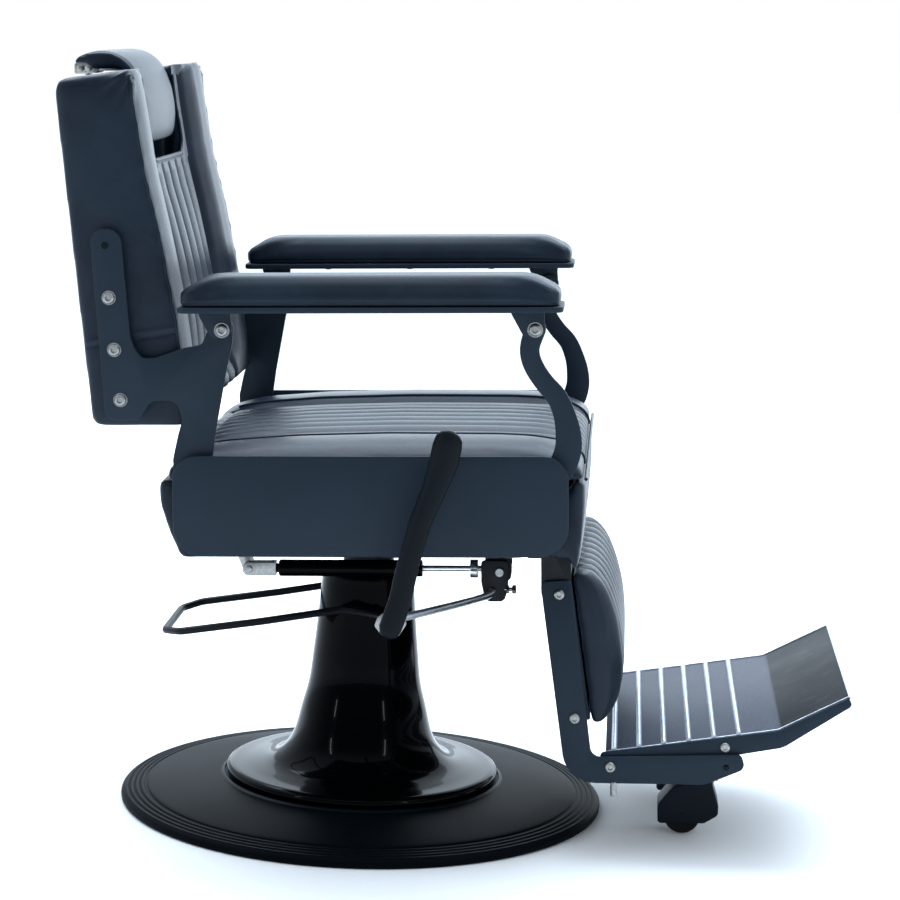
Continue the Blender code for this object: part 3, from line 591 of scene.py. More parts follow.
def makePedestal():
    radius = baseLook["radius"]
    skin = [(radius - 2.5, 0.3), (radius - 0.4, 2.0), (radius, 5), (radius - 0.6, 8), (radius - 2.6, 10.6)]
    inner, height = radius - 4.5, 11.6
    for ring in range(baseLook["rings"]):              # low rolled ridges round the rim
        skin += [(inner, height), (inner - 1.6, height + 1.7), (inner - 4.6, height + 2.0),
                 (inner - 6.0, height + 0.9)]
        inner -= baseLook["ringPitch"]
        height += baseLook["ringStep"]
    dome = smoothRun([(inner - 2, height + 0.4, 0), (284, 19.5, 0), (240, 27, 0), (188, 33.5, 0),
                      (150, 35, 0)], 5)
    skin += [(p.x, p.y) for p in dome]
    skin += [(20, 35), (20, 30), (148, 30), (240, 22), (300, 10), (318, 0.3), skin[0]]
    makePiece("baseDish", turn(skin, 160), "base", "baseCoat", ["base_cover"], leaned=False)
    bell = smoothRun([(56, 318, 0), (60.5, 314, 0), (62, 300, 0), (66.5, 245, 0), (71, 200, 0),
                      (75.5, 162, 0), (84, 128, 0), (93, 92, 0), (104, 72, 0), (122, 57, 0), (150, 51, 0),
                      (174, 48.6, 0)], 6)
    outside = [(p.x, p.y) for p in bell]
    lip = coverLook["flange"]
    outside += [(lip - 5, 47.8), (lip - 1.6, 46.0), (lip, 43), (lip - 0.4, 39.5), (lip - 2.5, 37.4),
                (lip - 8, 36.6), (160, 40), (120, 50), (90, 74), (78, 120), (68, 180), (60, 250), (54, 316),
                outside[0]]
    makePiece("columnBell", turn(outside, 128), "base", "gloss", ["pump_cover"], leaned=False)
    gasket = turn([(lip + 3, 35.4), (lip + 6, 34.6), (lip + 8, 32.6), (lip + 3, 32), (lip + 3, 35.4)], 128)
    makePiece("bellGasket", gasket, "base", "rubber", leaned=False)
    polish("pump_body", 0.6, angle=45)
    polish("pump_ram", 0.4)
    polish("foot_pedal", 0)
    polish("swivel_hub", 0.8)


# side panels, links, brackets and leg plates: flat steel with rolled paint edges

panelLook = {"edge": 1.1}
boltLook = {"radius": 7.6, "height": 4.6}
bracketBolts = [(-271, 710), (-266, 646), (-260, 584)]
armPivots = {"Rear": (-132, 670.5), "Front": (250, 670.5)}
legBolts = [(276, 327), (295, 167), (340, 104)]


def makePanels():
    for tag in sides:
        polish("side_panel_" + tag.lower(), panelLook["edge"])


def makePlates():
    bracket = [(-293, 794, 18), (-255, 794, 18), (-246, 662, 8), (-242, 650, 14), (-233, 635, 12),
               (-216, 636, 16), (-180, 648, 14), (-158, 652, 8), (-149, 672, 12), (-146, 685, 8),
               (-118, 685, 14), (-120, 655, 10), (-128, 622, 30), (-143, 546, 30), (-150, 500, 30),
               (-152, 435, 18), (-193, 435, 18), (-197, 510, 20), (-190, 540, 20), (-184, 560, 16),
               (-191, 583, 12), (-222, 583, 14), (-237, 559, 8), (-279, 559, 14)]
    link = [(250, 670.5, 13), (243, 647, 12), (247, 627, 12), (260, 606, 12), (276, 587, 12.5),
            (285, 565, 13.5), (289.5, 543, 15.5), (289, 521, 16.5), (279, 498, 17), (253, 473, 17),
            (210, 455, 18)]
    leg = [(252, 343, 8), (284, 83, 42), (460, 82, 30), (511, 103, 11), (505, 121, 6), (340, 117),
           (316, 117, 16), (291, 345, 6)]
    flange = [(327, 92, 12), (327, 121, 6), (552, 151, 20), (640, 194, 3), (645, 184, 5), (558, 129, 30),
              (511, 121, 8), (360, 92, 12)]
    for tag, side in sides.items():
        low = tag.lower()
        plate = slab(bracket, *across(side, 288, 294), 8)
        soften(plate, 0.9)
        makePiece("backBracket" + tag, plate, "back", "slateCoat", ["back_bracket_" + low])
        # a dark disc on the plate's face stands in for a hole: painted shade
        holeShade = turn([(0, 0.15), (3.6, 0.15), (4.6, 0.05), (4.8, -0.6), (0, -0.6), (0, 0.15)], 28)
        holeShade.transform(aimed((-274, side * 294.0, 774), (0, side, 0)))
        makePiece("bracketHole" + tag, holeShade, "back", "rubber")
        screws = [screwAt(x, z, side, 294, **boltLook) for x, z in bracketBolts]
        rings = [washerAt(x, z, side, 293.9, 8.8, 0.7) for x, z in bracketBolts]
        makePiece("bracketScrews" + tag, joined(*screws, *rings), "back", "zinc")
        swing = band(link, *across(side, 288, 294))
        soften(swing, 0.9)
        makePiece("frontLink" + tag, swing, "link_" + low, "slateCoat", ["front_link_" + low])
        shin = slab(leg, *across(side, 214, 219), 8)
        soften(shin, 0.8)
        makePiece("legPlate" + tag, shin, "seat", "slateCoat", ["leg_plate_" + low])
        edge = slab(flange, *across(side, 208, 212), 6)
        soften(edge, 0.7)
        makePiece("footFlange" + tag, edge, "foot_rest", "slateCoat", ["foot_flange_" + low])
        for where, (x, z) in armPivots.items():
            bolt = joined(screwAt(x, z, side, 299.6, 7.8, 4.4, 13), washerAt(x, z, side, 299, 9.6, 0.8))
            makePiece("armPivot" + where + tag, bolt, "arm_" + low, "zinc",
                      [f"arm_bolt_{where.lower()}_{low}"])
    for node, (x, z) in zip(("leg_rod_top", "leg_rod_mid", "foot_pivot_rod"), legBolts):
        heads = [screwAt(x, z, side, 219.1, 7.0, 4.2, 5) for side in (-1, 1)]
        bar = turn([(0, -216), (4, -216), (4, 216), (0, 216)], 24)
        bar.transform(aimed((x, 0, z), (0, 1, 0)))
        makePiece(pieceName(node, "Bolted"), joined(*heads, bar), "seat", "zinc", [node])
    heads = [screwAt(485, 129, side, 212.1, 6.5, 3.0, 5) for side in (-1, 1)]
    bar = turn([(0, -210), (4, -210), (4, 210), (0, 210)], 24)
    bar.transform(aimed((485, 0, 129), (0, 1, 0)))
    makePiece("footRestRodBolted", joined(*heads, bar), "foot_rest", "zinc", ["foot_rest_rod"])
    studs = []
    for side in (-1, 1):
        stud = turn([(0, 66), (3.2, 66), (4, 67), (4, 84), (0, 84)], 20)
        bmesh.ops.translate(stud, vec=(344, side * 216.5, 0), verts=stud.verts[:])
        studs.append(stud)
    makePiece("stopStuds", joined(*studs), "seat", "zinc")


# arms: a flat steel rest on two lugs, a stuffed pad and its screws

armLook = {"back": -181, "front": 285, "inner": 255, "outer": 340, "under": 695, "thick": 7}
padLook = {"voxel": 4, "cap": 3.5, "pressure": 4.0, "relax": 2, "fill": 0.8, "long": 459, "wide": 79,
           "high": 33, "base": 702.6}


def armPadShape(side):
    middle = side * (armLook["inner"] + armLook["outer"]) / 2

    def shape(spots, normals):
        x, y, z = spots.T
        out = np.abs(y - middle)
        z = np.maximum(z, padLook["base"])
        ends = np.minimum(x - (armLook["back"] + 1), (armLook["front"] - 2) - x)
        low = 1 - 0.30 * (1 - ease(ends, 0, 60)) ** 2
        crown = padLook["base"] + (z - padLook["base"]) * np.where(z > 703, low, 1)
        for endX in (armLook["back"] + 6, armLook["front"] - 7):     # gathers fan out from each sewn corner
            for edge in (-1, 1):
                dx, dy = x - endX, (y - middle) - edge * 36
                span = np.hypot(dx, dy)
                folds = np.cos(8 * np.arctan2(dy, dx)) * np.exp(-(span / 20) ** 2) * 1.3 * ease(z, 706, 716)
                crown = crown - np.abs(folds)
        pinch = groove(z - 706.5, 1.5, 1.6) * ease(out, 20, 40)      # the sewn hem just above the steel
        spots = np.stack([x, y, crown], 1) - normals * pinch[:, None]
        spots[:, 1] = np.clip(spots[:, 1], middle - 43.4, middle + 43.4)
        return spots
    return shape


def makeArms():
    rear = [(-162, 698), (-160, 688, 10), (-145, 660, 12), (-119, 660, 12), (-121, 688, 20), (-119, 698)]
    front = [(218, 698), (222, 688, 10), (237, 660, 12), (263, 660, 12), (261, 688, 20), (263, 698)]
    for tag, side in sides.items():
        low = tag.lower()
        inner, outer = across(side, armLook["inner"], armLook["outer"])
        halfway = (armLook["front"] + armLook["back"]) / 2
        rest = box((armLook["front"] - armLook["back"], outer - inner, armLook["thick"]),
                   (halfway, (outer + inner) / 2, armLook["under"] + armLook["thick"] / 2))
        roundOff(rest, edgesAlong(rest, 2), 11, 7)
        soften(rest, 1.6, 3)
        lugs = []
        for outline in (rear, front):
            lug = slab(outline, *across(side, 295, 299), 7)
            soften(lug, 0.7)
            lugs.append(lug)
        makePiece("armRest" + tag, joined(rest, *lugs), "arm_" + low, "slateCoat",
                  ["arm_plate_" + low])
        studs = []
        for x in (-64, 52, 168):
            stud = buttonHead(5.2, 2.6, 2)
            stud.transform(aimed((x, side * 278, armLook["under"]), (0, 0, -1)))
            studs.append(stud)
        makePiece("padScrews" + tag, joined(*studs), "arm_" + low, "blackCoat")
        pad = box((padLook["long"], padLook["wide"], padLook["high"]),
                  (halfway - 0.5, (outer + inner) / 2, padLook["base"] + padLook["high"] / 2))
        roundOff(pad, edgesAlong(pad, 2), 13, 6)
        topRim = [e for e in pad.edges if len(e.link_faces) == 2 and min(v.co.z for v in e.verts) > 720
                  and e.calc_face_angle(0) > 0.8]
        roundOff(pad, topRim, 12, 5)
        puff("armPad" + tag + "Stuffed", pad, "arm_" + low, padLook, ["arm_pad_" + low],
             sewn=lambda x, y, z: z < 707, shape=armPadShape(side), finish="padLeather")


# seat: a sewn cushion with lengthwise channels over an upholstered box

seatLook = {"voxel": 6, "cap": 4, "pressure": 4.0, "relax": 3, "fill": 0.75, "half": 158, "channels": 9,
            "depth": 3.4, "base": 482, "edge": 517.5, "middle": 522.5, "crest": 523.5, "rim": 512}
skirtLook = {"voxel": 5, "cap": 0, "pressure": 0, "relax": 5, "fill": 1.0}


def seatHeight(out):                                   # a shallow channelled field between two raised rolls
    look = seatLook
    field = look["middle"] + (look["edge"] - look["middle"]) * np.clip(out / look["half"], 0, 1) ** 3
    climb = np.sin(np.clip((out - look["half"]) / 44, 0, 1) * np.pi / 2)
    inner = look["edge"] + (look["crest"] - look["edge"]) * climb
    outer = look["crest"] - (look["crest"] - look["rim"]) * np.clip((out - 206) / 80, 0, 1) ** 2.2
    return np.where(out < look["half"], field, np.minimum(inner, outer))


def seatShape(spots, normals):
    x, y, z = spots.T
    out = np.abs(y)
    rise = np.maximum(z - seatLook["base"], 0)
    crown = seatLook["base"] + rise * (seatHeight(out) - seatLook["base"]) / 52
    sewn = ease(normals[:, 2], -0.15, 0.35) * ease(x, -196, -176)
    drop = furrows(y, seatLook["half"], seatLook["channels"], seatLook["depth"]) * sewn * (out < 176)
    drop += groove(x + 186, 2.2, 4) * (out < seatLook["half"] + 3)      # cross seam along the back
    spots = np.stack([x, y, crown], 1) - normals * drop[:, None]
    spots[:, 1] = np.clip(spots[:, 1], -286, 286)
    spots[:, 2] = np.maximum(spots[:, 2], 481.6)
    return spots


def makeSeat():
    outline = [(-206, 482, 4), (-209, 503, 14), (-184, 519, 30), (-60, 531, 200), (60, 535, 200),
               (200, 534, 200), (286, 529, 44), (307, 503, 30), (307, 482, 4)]
    cushion = slab(outline, -283, 283, 8)
    roundOff(cushion, [e for e in endEdges(cushion) if min(v.co.z for v in e.verts) > 496], 9, 3)
    cover = puff("seatCushionStuffed", cushion, "seat", seatLook, ["seat_cushion", "seat_board"],
                 sewn=lambda x, y, z: (z < 488) | (np.abs(np.abs(y) - seatLook["half"]) < 4) & (z > 500),
                 shape=seatShape)
    top = smoothRun([(-190, 540, 0), (-150, 545, 0), (-60, 550, 0), (60, 555, 0), (200, 554, 0),
                     (270, 550, 0), (300, 535, 0), (318, 515, 0), (318, 484, 0)], 16)
    for tag, side in sides.items():
        seam = [(p.x, side * 173, p.y) for p in top]
        pipe("seatPiping" + tag, seam, 2.0, "seat", "leather", hug=cover)
    skirt = bmesh.new()
    skirt.from_mesh(nodes["seat_box"].data)
    skirt.transform(Matrix.Scale(1 / mm, 4) @ lean.inverted())
    bmesh.ops.remove_doubles(skirt, verts=skirt.verts[:], dist=0.01)

    def skirtShape(spots, normals):
        x, y, z = spots.T
        front = ease(normals[:, 0], 0.5, 0.9) * (x > 280)
        rear = ease(-normals[:, 0], 0.3, 0.8) * (x < -150)
        belly = 1 - np.clip(np.abs(y) / 280, 0, 1) ** 4
        bow = (1 - ((z - 430) / 60) ** 2).clip(0, 1)
        return spots + normals * ((front * 2.6 + rear * 2.0) * belly * bow)[:, None]
    puff("seatSkirtCovered", skirt, "seat", skirtLook, ["seat_box"], shape=skirtShape)
    welt = [(311, y, 484.5) for y in np.linspace(-282, 282, 60)]
    pipe("skirtWelt", welt, 2.2, "seat", "leather")


# backrest: one upholstered body with side bolsters, sewn channels and a notch for the head pillow

backLook = {"voxel": 6, "cap": 5, "pressure": 4.0, "relax": 2, "fill": 0.7, "half": 156, "channels": 6,
            "depth": 6.0, "notch": 119, "notchBottom": 867, "notchRound": 22, "recess": 15.0, "lip": 18,
            "sideSeam": 655}
backFront = [(-239, 986), (-235, 945), (-229, 905), (-224, 865), (-217, 828), (-207, 785), (-199, 740),
             (-187, 650), (-179, 600), (-179, 551)]


def frontAt(z):
    heights = [p[1] for p in backFront][::-1]
    return np.interp(z, heights, [p[0] for p in backFront][::-1])


def backShape(spots, normals):
    x, y, z = spots.T
    out = np.abs(y)
    face = ease(normals[:, 0], 0.15, 0.6)
    flank = ease(np.abs(normals[:, 1]), 0.5, 0.9) * (out > 250)
    drop = furrows(y, backLook["half"], backLook["channels"], backLook["depth"]) * face \
        * (z < backLook["notchBottom"] - 3) * (1 - ease(out, 158, 166))
    drop += groove(out - backLook["half"] - 4, 6.0, 6) * face
    recess = 1 - ease(out, 150, 205)
    drop += (backLook["recess"] * recess - 3.0 * np.exp(-((out - 240) / 30) ** 2)) * face * ease(z, 560, 600)
    above = z - backLook["sideSeam"] - (x + 260) * 0.16
    drop += groove(above, 1.6, 2.2) * flank
    drop -= groove(above - 5.5, 0.8, 3.0) * flank
    angle = np.arctan2(z - 990, x + 234)
    span = np.hypot(z - 990, x + 234)
    folds = np.sin(angle * 15) * np.exp(-(span / 40) ** 2) * 1.6 * (out > 262)
    drop += folds + groove(span, 1.5, 9) * (out > 262)
    tired = np.sin(z * 0.055 + x * 0.08) * 0.25 * flank
    moved = spots - normals * (drop + tired)[:, None]
    moved[:, 1] = np.clip(moved[:, 1], -284.5, 284.5)
    rim = (out < 205) & (z > backLook["notchBottom"] - 14)
    limit = frontAt(z) - backLook["lip"] + (backLook["lip"] + 6) * ease(out, backLook["notch"] + 14, 205)
    moved[rim, 0] = np.minimum(moved[rim, 0], limit[rim])
    return moved


def notchTool():                                       # cuts the notch, whose floor falls away to the rear
    notch = box((120, 2 * backLook["notch"], 160), (60, 0, 80))
    corners = [e for e in edgesAlong(notch, 0) if e.verts[0].co.z < 1]
    roundOff(notch, corners, backLook["notchRound"], 6)
    bmesh.ops.recalc_face_normals(notch, faces=notch.faces[:])
    for vert in notch.verts:
        vert.co.z -= (35 - vert.co.x) * 0.4 * (vert.co.z < 40)
    tipped = Matrix.Rotation(math.radians(-5.2), 4, "Y")
    notch.transform(Matrix.Translation((-264, 0, backLook["notchBottom"])) @ tipped)
    return linked("notchTool", meshFrom("notchTool", notch))


def notched(body):
    blank = linked("backBlank", meshFrom("backBlank", body))
    tool = notchTool()
    cut = blank.modifiers.new("notch", "BOOLEAN")
    cut.operation = "DIFFERENCE"
    cut.object = tool
    cut.solver = "EXACT"
    settle(blank)
    bm = bmesh.new()
    bm.from_mesh(blank.data)
    bpy.data.objects.remove(tool)
    bpy.data.objects.remove(blank)
    return bm


def backSewn(x, y, z):                                 # where the cover is held by a seam or a board
    out = np.abs(y)
    front = x > frontAt(z) - 12
    rear = x < -331 + (975 - z) * 0.094
    flank = (np.abs(z - backLook["sideSeam"]) < 3) & (out > 268)
    seams = front & ((out > 270) | (np.abs(out - 160) < 5)) | flank
    return seams | (z < 556) | (z > 826) & (out < 127) & (x > -290) | rear | (z > 966)


def notchLip():                                        # down one side of the notch, across and up the other
    half, floor, bend = backLook["notch"], backLook["notchBottom"], backLook["notchRound"]
    run = [(-half, z) for z in np.linspace(972, floor + bend, 24)]
    run += [(-half + bend - bend * math.cos(a), floor + bend * (1 - math.sin(a)))
            for a in np.linspace(0, math.pi / 2, 8)]
    run += [(y, floor) for y in np.linspace(bend - half, half - bend, 30)]
    run += [(-y, z) for y, z in run[31::-1]]
    return [(frontAt(z) - backLook["lip"], y, z) for y, z in run]


def makeBack():
    outline = [(-337, 975, 16), (-288, 980, 200), (-241, 987, 9), (-237, 945, 60), (-226, 865, 200),
               (-209, 785, 200), (-192, 690, 200), (-182, 600, 60), (-179, 549, 8), (-238, 549, 100),
               (-300, 548, 10)]
    body = slab(outline, -278, 278, 6)
    rims = [e for e in endEdges(body)
            if sum(v.co.x for v in e.verts) / 2 < -290 or min(v.co.z for v in e.verts) > 955]
    roundOff(body, rims, 9, 4)
    cover = puff("backrestStuffed", notched(body), "back", backLook, ["back_frame", "back_cushion"],
                 sewn=backSewn, shape=backShape)
    rail = smoothRun([(x + 3, z, 0) for x, z in backFront], 12)
    for tag, side in sides.items():
        seam = [(p.x, side * 281, p.y) for p in rail]
        pipe("backPiping" + tag, seam, 2.0, "back", "leather", hug=cover, sink=0.1)
    pipe("notchPiping", notchLip(), 2.4, "back", "leather", hug=cover, sink=0.2)


# head pillow on its sliding bar

pillowLook = {"voxel": 4, "cap": 5, "pressure": 4.0, "relax": 3, "fill": 0.85}


def makePillow():
    moon = [(-345, 988, 4), (-339, 999, 12), (-316, 1008, 60), (-290, 1006, 50), (-266, 988, 40),
            (-254, 955, 50), (-250, 920, 40), (-253, 893, 14), (-261, 886, 8), (-268, 896, 8),
            (-273, 940, 60), (-277, 984, 8), (-322, 984, 6), (-325, 991, 6)]
    pillow = slab(moon, -114, 114, 6)
    roundOff(pillow, endEdges(pillow), 3, 2, True)

    def shape(spots, normals):
        out = np.abs(spots[:, 1])
        drop = groove(out - 110, 1.2, 2.0) * (normals[:, 0] > -0.3)
        drop -= 4 * (1 - (out / 118) ** 2).clip(0, 1) * ease(normals[:, 0], 0.1, 0.7)   # a proud middle
        moved = spots - normals * drop[:, None]
        moved[:, 1] = np.clip(moved[:, 1], -120, 120)
        return moved
    puff("headPillowStuffed", pillow, nodeBody["headrest_pillow"], pillowLook, ["headrest_pillow"],
         sewn=lambda x, y, z: (x < -272) & (z < 990) | (z < 884) | (np.abs(y) > 109), shape=shape)
    block = slab([(-360, 976, 3), (-360, 990.5, 3), (-325.5, 990.5, 3), (-325.5, 984, 2), (-331, 977, 2)],
                 -22, 22, 4)
    soften(block, 0.8)
    knobs = []
    for x in (-352, -341):
        knob = turn([(0, 0), (4.5, 0), (4.5, 2), (3.6, 2.6), (0, 2.6)], 24)
        knob.transform(aimed((x, -22, 983.5), (0, -1, 0)))
        knobs.append(knob)
    makePiece("pillowBlock", joined(block, *knobs), nodeBody["headrest_bar"], "zinc")
    polish("headrest_bar", 0.5)
    polish("headrest_guide", 0.8)


# calf pad on its board

calfLook = {"voxel": 5, "cap": 7, "pressure": 4.0, "relax": 3, "fill": 0.8, "half": 168, "channels": 9,
            "depth": 3.6}


def makeCalf():
    outline = [(291.5, 350, 3), (315, 353, 12), (333, 336, 44), (350, 292, 60), (358, 228, 120),
               (352, 182, 60), (333, 156, 14), (316.5, 157, 3)]
    pad = slab(outline, -207, 207, 8)
    roundOff(pad, endEdges(pad), 5, 3, True)

    def backOf(z):
        return 291.5 + (350 - z) * (27.5 / 214)

    def sewn(x, y, z):
        return (x < backOf(z) + 5) | (np.abs(np.abs(y) - 172) < 4)

    def shape(spots, normals):
        x, y, z = spots.T
        out = np.abs(y)
        face = ease(normals[:, 0] + 0.4 * np.maximum(normals[:, 2], 0), 0.1, 0.5)
        drop = furrows(y, calfLook["half"], calfLook["channels"], calfLook["depth"]) * face
        ends = 1 - 0.34 * ease(out, 165, 212) ** 2               # the pad thins towards its ends
        deep = x - backOf(z)
        thinned = backOf(z) + np.where(deep > 0, deep * ends, deep)
        moved = np.stack([thinned, y, z], 1) - normals * drop[:, None]
        moved[:, 1] = np.clip(moved[:, 1], -211, 211)
        return moved
    puff("calfPadStuffed", pad, "seat", calfLook, ["calf_pad"], sewn=sewn, shape=shape)
    board = slab([(283, 348, 3), (290.8, 348, 2), (314.6, 161, 2), (306.8, 161, 3)], -203, 203, 4)
    soften(board, 1.5, 3)
    makePiece("calfBoardCovered", board, "seat", "leather", ["calf_board"])


# foot plate with rolled ribs

treadLook = {"ribs": 6, "first": 346, "pitch": 31.5, "slope": 0.138, "half": 207.6}


def makeFootPlate():
    def surface(x):
        return 121 + (x - 334) * treadLook["slope"]
    half = treadLook["half"]
    sheet = slab([(334, surface(334)), (552, surface(552), 14), (641, 195), (642.4, 192.2),
                  (553, surface(552) - 3, 14), (334, surface(334) - 3)], -half, half, 6)
    soften(sheet, 0.7, 2, 60)
    makePiece("footTread", sheet, "foot_rest", "tread", ["foot_plate"])
    ribs = []
    for i in range(treadLook["ribs"]):
        x = treadLook["first"] + i * treadLook["pitch"]
        base = surface(x)
        rib = [(x - 5.0, base - 1.2), (x - 3.8, base + 2.6, 1.5), (x - 1.6, base + 5.0, 1.6),
               (x + 0.6, base + 4.2, 1.5), (x + 2.4, base + 0.3, 1.2), (x + 2.4, base - 1.6)]
        ribs.append(slab(rib, -half, half, 5))
    # the ribs carry the lighter metal: painted highlight on their crests
    makePiece("footRibs", joined(*ribs), "foot_rest", "paintedHighlightMetal")
    # thin lines of the lighter metal along the plate's sides and nose: painted highlight on its edges
    edge = [(x, surface(x) + 0.2) for x in (334, 400, 470, 540)]
    edge += [(552, surface(552) + 0.4), (596, 173.2), (640.5, 195)]
    nose = [(641.2, y, 194.2) for y in np.linspace(-half, half, 12)]
    pipe("noseEdgeHighlight", nose, 1.5, "foot_rest", "paintedHighlightMetal")
    for tag, side in sides.items():
        line = [(x, side * (half - 0.6), z) for x, z in edge]
        pipe("treadEdgeHighlight" + tag, line, 1.0, "foot_rest", "paintedHighlightMetal")


# two casters, each a grooved wheel under a hood

casterLook = {"out": 78, "round": 4.5}


def makeCasters():
    outline = [(401, 22, 13), (401, -1, 3), (404, -3.6, 2), (462, -3.6, 5), (480, 7, 7), (480.5, 20, 8),
               (473, 48, 14), (471, 74, 3), (446, 74, 4), (443, 54, 12), (420, 45, 18)]
    centre, axle = (433, 5.5), 3.6
    for tag, side in sides.items():
        low = tag.lower()
        middle = side * casterLook["out"]
        hood = slab(outline, middle - 24.5, middle + 24.5, 7)
        soften(hood, casterLook["round"], 4, 60)
        shell = [hood]
        for radius, heights in ((13.4, (64, 79, 81)), (5.4, (79, 100, 101))):
            stem = turn([(0, heights[0]), (radius, heights[0]), (radius, heights[1]),
                         (radius - 1, heights[2]), (0, heights[2])], 40)
            bmesh.ops.translate(stem, vec=(460, middle, 0), verts=stem.verts[:])
            shell.append(stem)
        for out in (-1, 1):
            cap = turn([(0, 0), (axle + 1.6, 0), (axle + 1.2, 1.0), (axle - 0.6, 1.3), (0, 1.3)], 28)
            cap.transform(aimed((centre[0], middle + out * 24.3, centre[1]), (0, out, 0)))
            shell.append(cap)
        makePiece("casterHood" + tag, joined(*shell), nodeBody["caster_fork_" + low], "plastic",
                  ["caster_fork_" + low], angle=45)
        disc = [(0, 20.6), (17, 20.6), (18.5, 21.4), (21, 21.4), (23.2, 19.8), (24, 16), (24, 5.5),
                (22.6, 3.2), (19, 1.8)]
        wheel = turn([(radius, -height) for radius, height in disc] + disc[::-1], 72)
        wheel.transform(aimed((centre[0], middle, centre[1]), (0, 1, 0)))
        makePiece("casterWheel" + tag, wheel, nodeBody["caster_wheel_" + low], "tyre",
                  ["caster_wheel_" + low])


# recline lever, gas spring and release gear

handleLook = {"thick": 8.6, "middle": -341.2}


def makeLever():
    grip = [(150.5, 553, 4), (149.3, 549.5, 12), (147.6, 544, 16.4), (145, 534, 18), (140.5, 514, 18),
            (129, 482, 15.2), (119, 459, 14.2), (111, 440, 13.6), (104, 416, 13.5), (97, 392, 13.6),
            (91, 368, 13.8), (86, 345, 14), (79, 325, 14.2), (73, 309, 14), (70.5, 301, 11), (69.4, 297.5, 5)]
    rings = []
    for i, (x, z, half) in enumerate(grip):
        before, after = grip[max(i - 1, 0)], grip[min(i + 1, len(grip) - 1)]
        along = Vector((after[0] - before[0], 0, after[1] - before[1])).normalized()
        cross = Vector((0, 1, 0)).cross(along)
        swell = 1.12 if z > 500 else 0.78 if z < 420 else 0.95
        thick = handleLook["thick"] * min(1, (half / 14) ** 0.8) * swell
        turnTo = Matrix((cross * half, Vector((0, 1, 0)) * thick, along)).transposed().to_4x4()
        rings.append(Matrix.Translation((x, handleLook["middle"], z)) @ turnTo)
    handle = loft(rings, 36)
    makePiece("leverGrip", handle, "release_lever", "rubber", ["lever_handle"], angle=60)


def makeGasSpring():
    x, z, y = -130, 338, -110
    fork = slab([(x - 9, z - 9, 8.5), (x - 9, z + 9, 8.5), (x + 35, z + 9, 1.5), (x + 35, z - 9, 1.5)],
                y - 9, y + 9, 6)
    soften(fork, 0.8)
    pin = turn([(0, -10.6), (4.2, -10.6), (4.6, -10), (4.6, 10), (4.2, 10.6), (0, 10.6)], 28)
    pin.transform(aimed((x, y, z), (0, 1, 0)))
    makePiece("gasFork", joined(fork, pin), "gas_cylinder", "zinc", ["gas_clevis"])
    tube = turn([(0, -95), (6, -95), (6, -91.5), (9.5, -91.5), (11, -90), (11, 94), (10.2, 96), (6.5, 96.6),
                 (4.4, 96.6), (4.4, 92), (8, 92), (8, -86), (0, -86)], 48)
    tube.transform(aimed((0, y, z), (1, 0, 0)))
    makePiece("gasTube", tube, "gas_cylinder", "gloss", ["gas_cylinder"])
    polish("gas_rod", 0.4)
    nut = turn([(4.2, 158), (11.4, 158), (12.6, 159), (12.6, 167), (11.4, 168), (4.2, 168), (4.2, 158)], 6)
    nut.transform(aimed((0, y, z), (1, 0, 0)))
    makePiece("lockNut", nut, "gas_rod", "zinc", angle=20)
    rocker = slab([(173, 353, 5), (208, 353, 5), (208, 318, 6), (203, 299, 8), (178, 299, 9), (173, 325, 8)],
                  y - 23, y - 18, 6)
    soften(rocker, 0.7)
    makePiece("releaseRocker", rocker, "release_lever", "blackCoat", ["release_rocker"])
    pin = turn([(0, -28), (5.2, -28), (5.5, -27.4), (5.5, 24), (0, 24)], 32)
    pin.transform(aimed((197, y, 338), (0, 1, 0)))
    makePiece("leverPin", pin, "seat", "zinc", ["pivot_pin"])
    screw = turn([(0, 0), (2.6, 0), (2.6, 10), (0, 10)], 20)
    head = turn([(0, 10), (5.4, 10), (6.0, 10.8), (6.0, 14.4), (5.4, 15.2), (0, 15.2)], 6)
    jam = turn([(0, 3), (5.6, 3), (5.6, 6), (0, 6)], 6)
    stack = joined(screw, head, jam)
    stack.transform(aimed((203, y - 20.5, 315), (1, 0, 0)))
    makePiece("travelScrew", stack, "release_lever", "zinc", angle=20)
    run = smoothRun([(88, -334, 322), (112, -286, 318), (150, -210, 312.5), (172, -160, 309),
                     (184, -139, 309.5), (188, -133.5, 314)], 6)
    pipe("releaseBar", run, 5, "release_lever", "chrome", sides=5, replaced=["release_rod"])
    tongue = slab([(53, 312, 5), (58, 323, 6), (68, 329, 8), (88, 327, 6), (93, 314, 6), (82, 297, 7),
                   (63, 298, 8)], -336, -332, 5)
    soften(tongue, 0.6)
    makePiece("leverTongue", tongue, "release_lever", "zinc")
    polish("anchor_bracket", 0.8)
    polish("seat_frame", 1.0)
    polish("caster_bar", 0.8)
    polish("recline_shaft", 0.6)


makePedestal()
makePanels()
makePlates()
print("steelwork made")
makeGasSpring()
makeLever()
makeFootPlate()
makeCasters()
print("fittings made")
makeArms()
makeSeat()
makeBack()
makePillow()
makeCalf()
print("upholstery made")


# floor, light and camera

def areaLight(name, power, size, place, target, tint=(1, 1, 1)):
    lamp = bpy.data.lights.new(name, "AREA")
    lamp.shape = "RECTANGLE"
    lamp.size, lamp.size_y = size
    lamp.energy = power
    lamp.color = tint
    holder = linked(name, lamp)
    holder.location = place
    holder.visible_camera = False
    holder.rotation_euler = (Vector(target) - Vector(place)).to_track_quat("-Z", "Y").to_euler()


lightLook = {"behind": 1.3, "infront": 0.16, "zenith": 1.0, "sky": (0.76, 0.88, 1.0),
             "floorTint": (0.98, 0.98, 0.98), "overhead": 150, "rear": 50, "strip": 14}


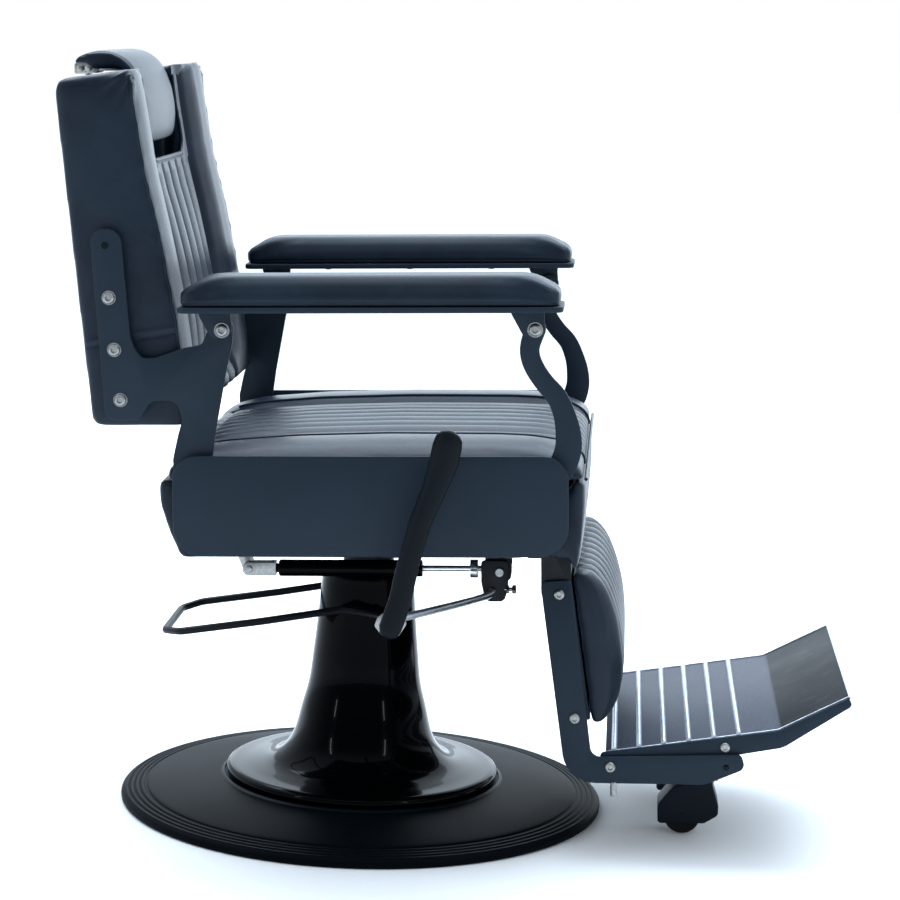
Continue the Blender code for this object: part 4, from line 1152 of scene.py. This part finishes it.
def setWorld():
    world = bpy.data.worlds.new("studio")
    bpy.context.scene.world = world
    world.use_nodes = True
    tree = world.node_tree

    def add(kind, **settings):
        made = tree.nodes.new(kind)
        for key, value in settings.items():
            setattr(made, key, value)
        return made

    def ramp(socket, low, high, dim, bright):
        made = add("ShaderNodeMapRange", interpolation_type="SMOOTHSTEP")
        for key, value in (("From Min", low), ("From Max", high), ("To Min", dim), ("To Max", bright)):
            made.inputs[key].default_value = value
        tree.links.new(socket, made.inputs["Value"])
        return made.outputs["Result"]
    place = add("ShaderNodeTexCoord")
    split = add("ShaderNodeSeparateXYZ")
    tree.links.new(place.outputs["Generated"], split.inputs["Vector"])
    sweep = ramp(split.outputs["Y"], -0.75, 0.45, lightLook["infront"], lightLook["behind"])
    above = ramp(split.outputs["Z"], 0.35, 0.85, 0, lightLook["zenith"])
    total = add("ShaderNodeMath", operation="ADD")     # dark behind the camera, bright beyond and overhead
    tree.links.new(sweep, total.inputs[0])
    tree.links.new(above, total.inputs[1])
    seen = add("ShaderNodeLightPath")
    shade = add("ShaderNodeMix")                       # a plain white backdrop
    shade.inputs["B"].default_value = 1.0
    tint = add("ShaderNodeMix", data_type="RGBA")
    tint.inputs[6].default_value = (*lightLook["sky"], 1)
    tint.inputs[7].default_value = (1, 1, 1, 1)
    tree.links.new(total.outputs[0], shade.inputs["A"])
    for mixer in (shade, tint):
        tree.links.new(seen.outputs["Is Camera Ray"], mixer.inputs["Factor"])
    tree.links.new(shade.outputs["Result"], tree.nodes["Background"].inputs["Strength"])
    tree.links.new(tint.outputs[2], tree.nodes["Background"].inputs["Color"])


def setStage():
    setWorld()
    bpy.context.scene.view_settings.view_transform = "Standard"
    bm = bmesh.new()
    bmesh.ops.create_grid(bm, x_segments=1, y_segments=1, size=30)
    floor = linked("floor", meshFrom("floor", bm))
    floor.location.z = -0.0005
    paper = Finish("floorPaper", Roughness=0.8, Specular_IOR_Level=0.2)
    tint = lightLook["floorTint"]
    paper.set(Base_Color=paper.mix(paper.noise(1.5, 2), tuple(c * 0.98 for c in tint), tint))
    floor.data.materials.append(paper.material)
    areaLight("overheadSoftbox", lightLook["overhead"], (3.6, 3.0), (0.1, 1.3, 3.0), (0, 0.4, 0),
              (0.75, 0.87, 1))
    areaLight("rearSoftbox", lightLook["rear"], (4.5, 1.5), (0.4, 3.8, 1.2), (0, 0, 0.5), (0.78, 0.90, 1))
    areaLight("stripLeft", lightLook["strip"], (0.12, 1.5), (-2.6, -2.2, 1.5), (0, 0, 0.4))
    areaLight("stripRight", lightLook["strip"], (0.16, 1.5), (2.4, -2.6, 1.6), (0, 0, 0.4))


def setCamera():
    lens = {"mm": 110.36, "place": (0.319, -3.617, 1.060), "yaw": -3.41, "pitch": 9.07, "roll": 2.14}
    yaw, pitch, roll = (math.radians(lens[key]) for key in ("yaw", "pitch", "roll"))
    ahead = Vector((math.sin(yaw) * math.cos(pitch), math.cos(yaw) * math.cos(pitch), -math.sin(pitch)))
    right = ahead.cross(Vector((0, 0, 1))).normalized()
    up = right.cross(ahead)
    across = math.cos(roll) * right + math.sin(roll) * up
    upward = math.cos(roll) * up - math.sin(roll) * right
    camera = linked("camera", bpy.data.cameras.new("camera"))
    camera.data.lens = lens["mm"]
    camera.data.clip_end = 100
    turn = Matrix((across, upward, -ahead)).transposed().to_4x4()
    camera.matrix_world = Matrix.Translation(lens["place"]) @ turn
    bpy.context.scene.camera = camera


setStage()
setCamera()
print("stage set")
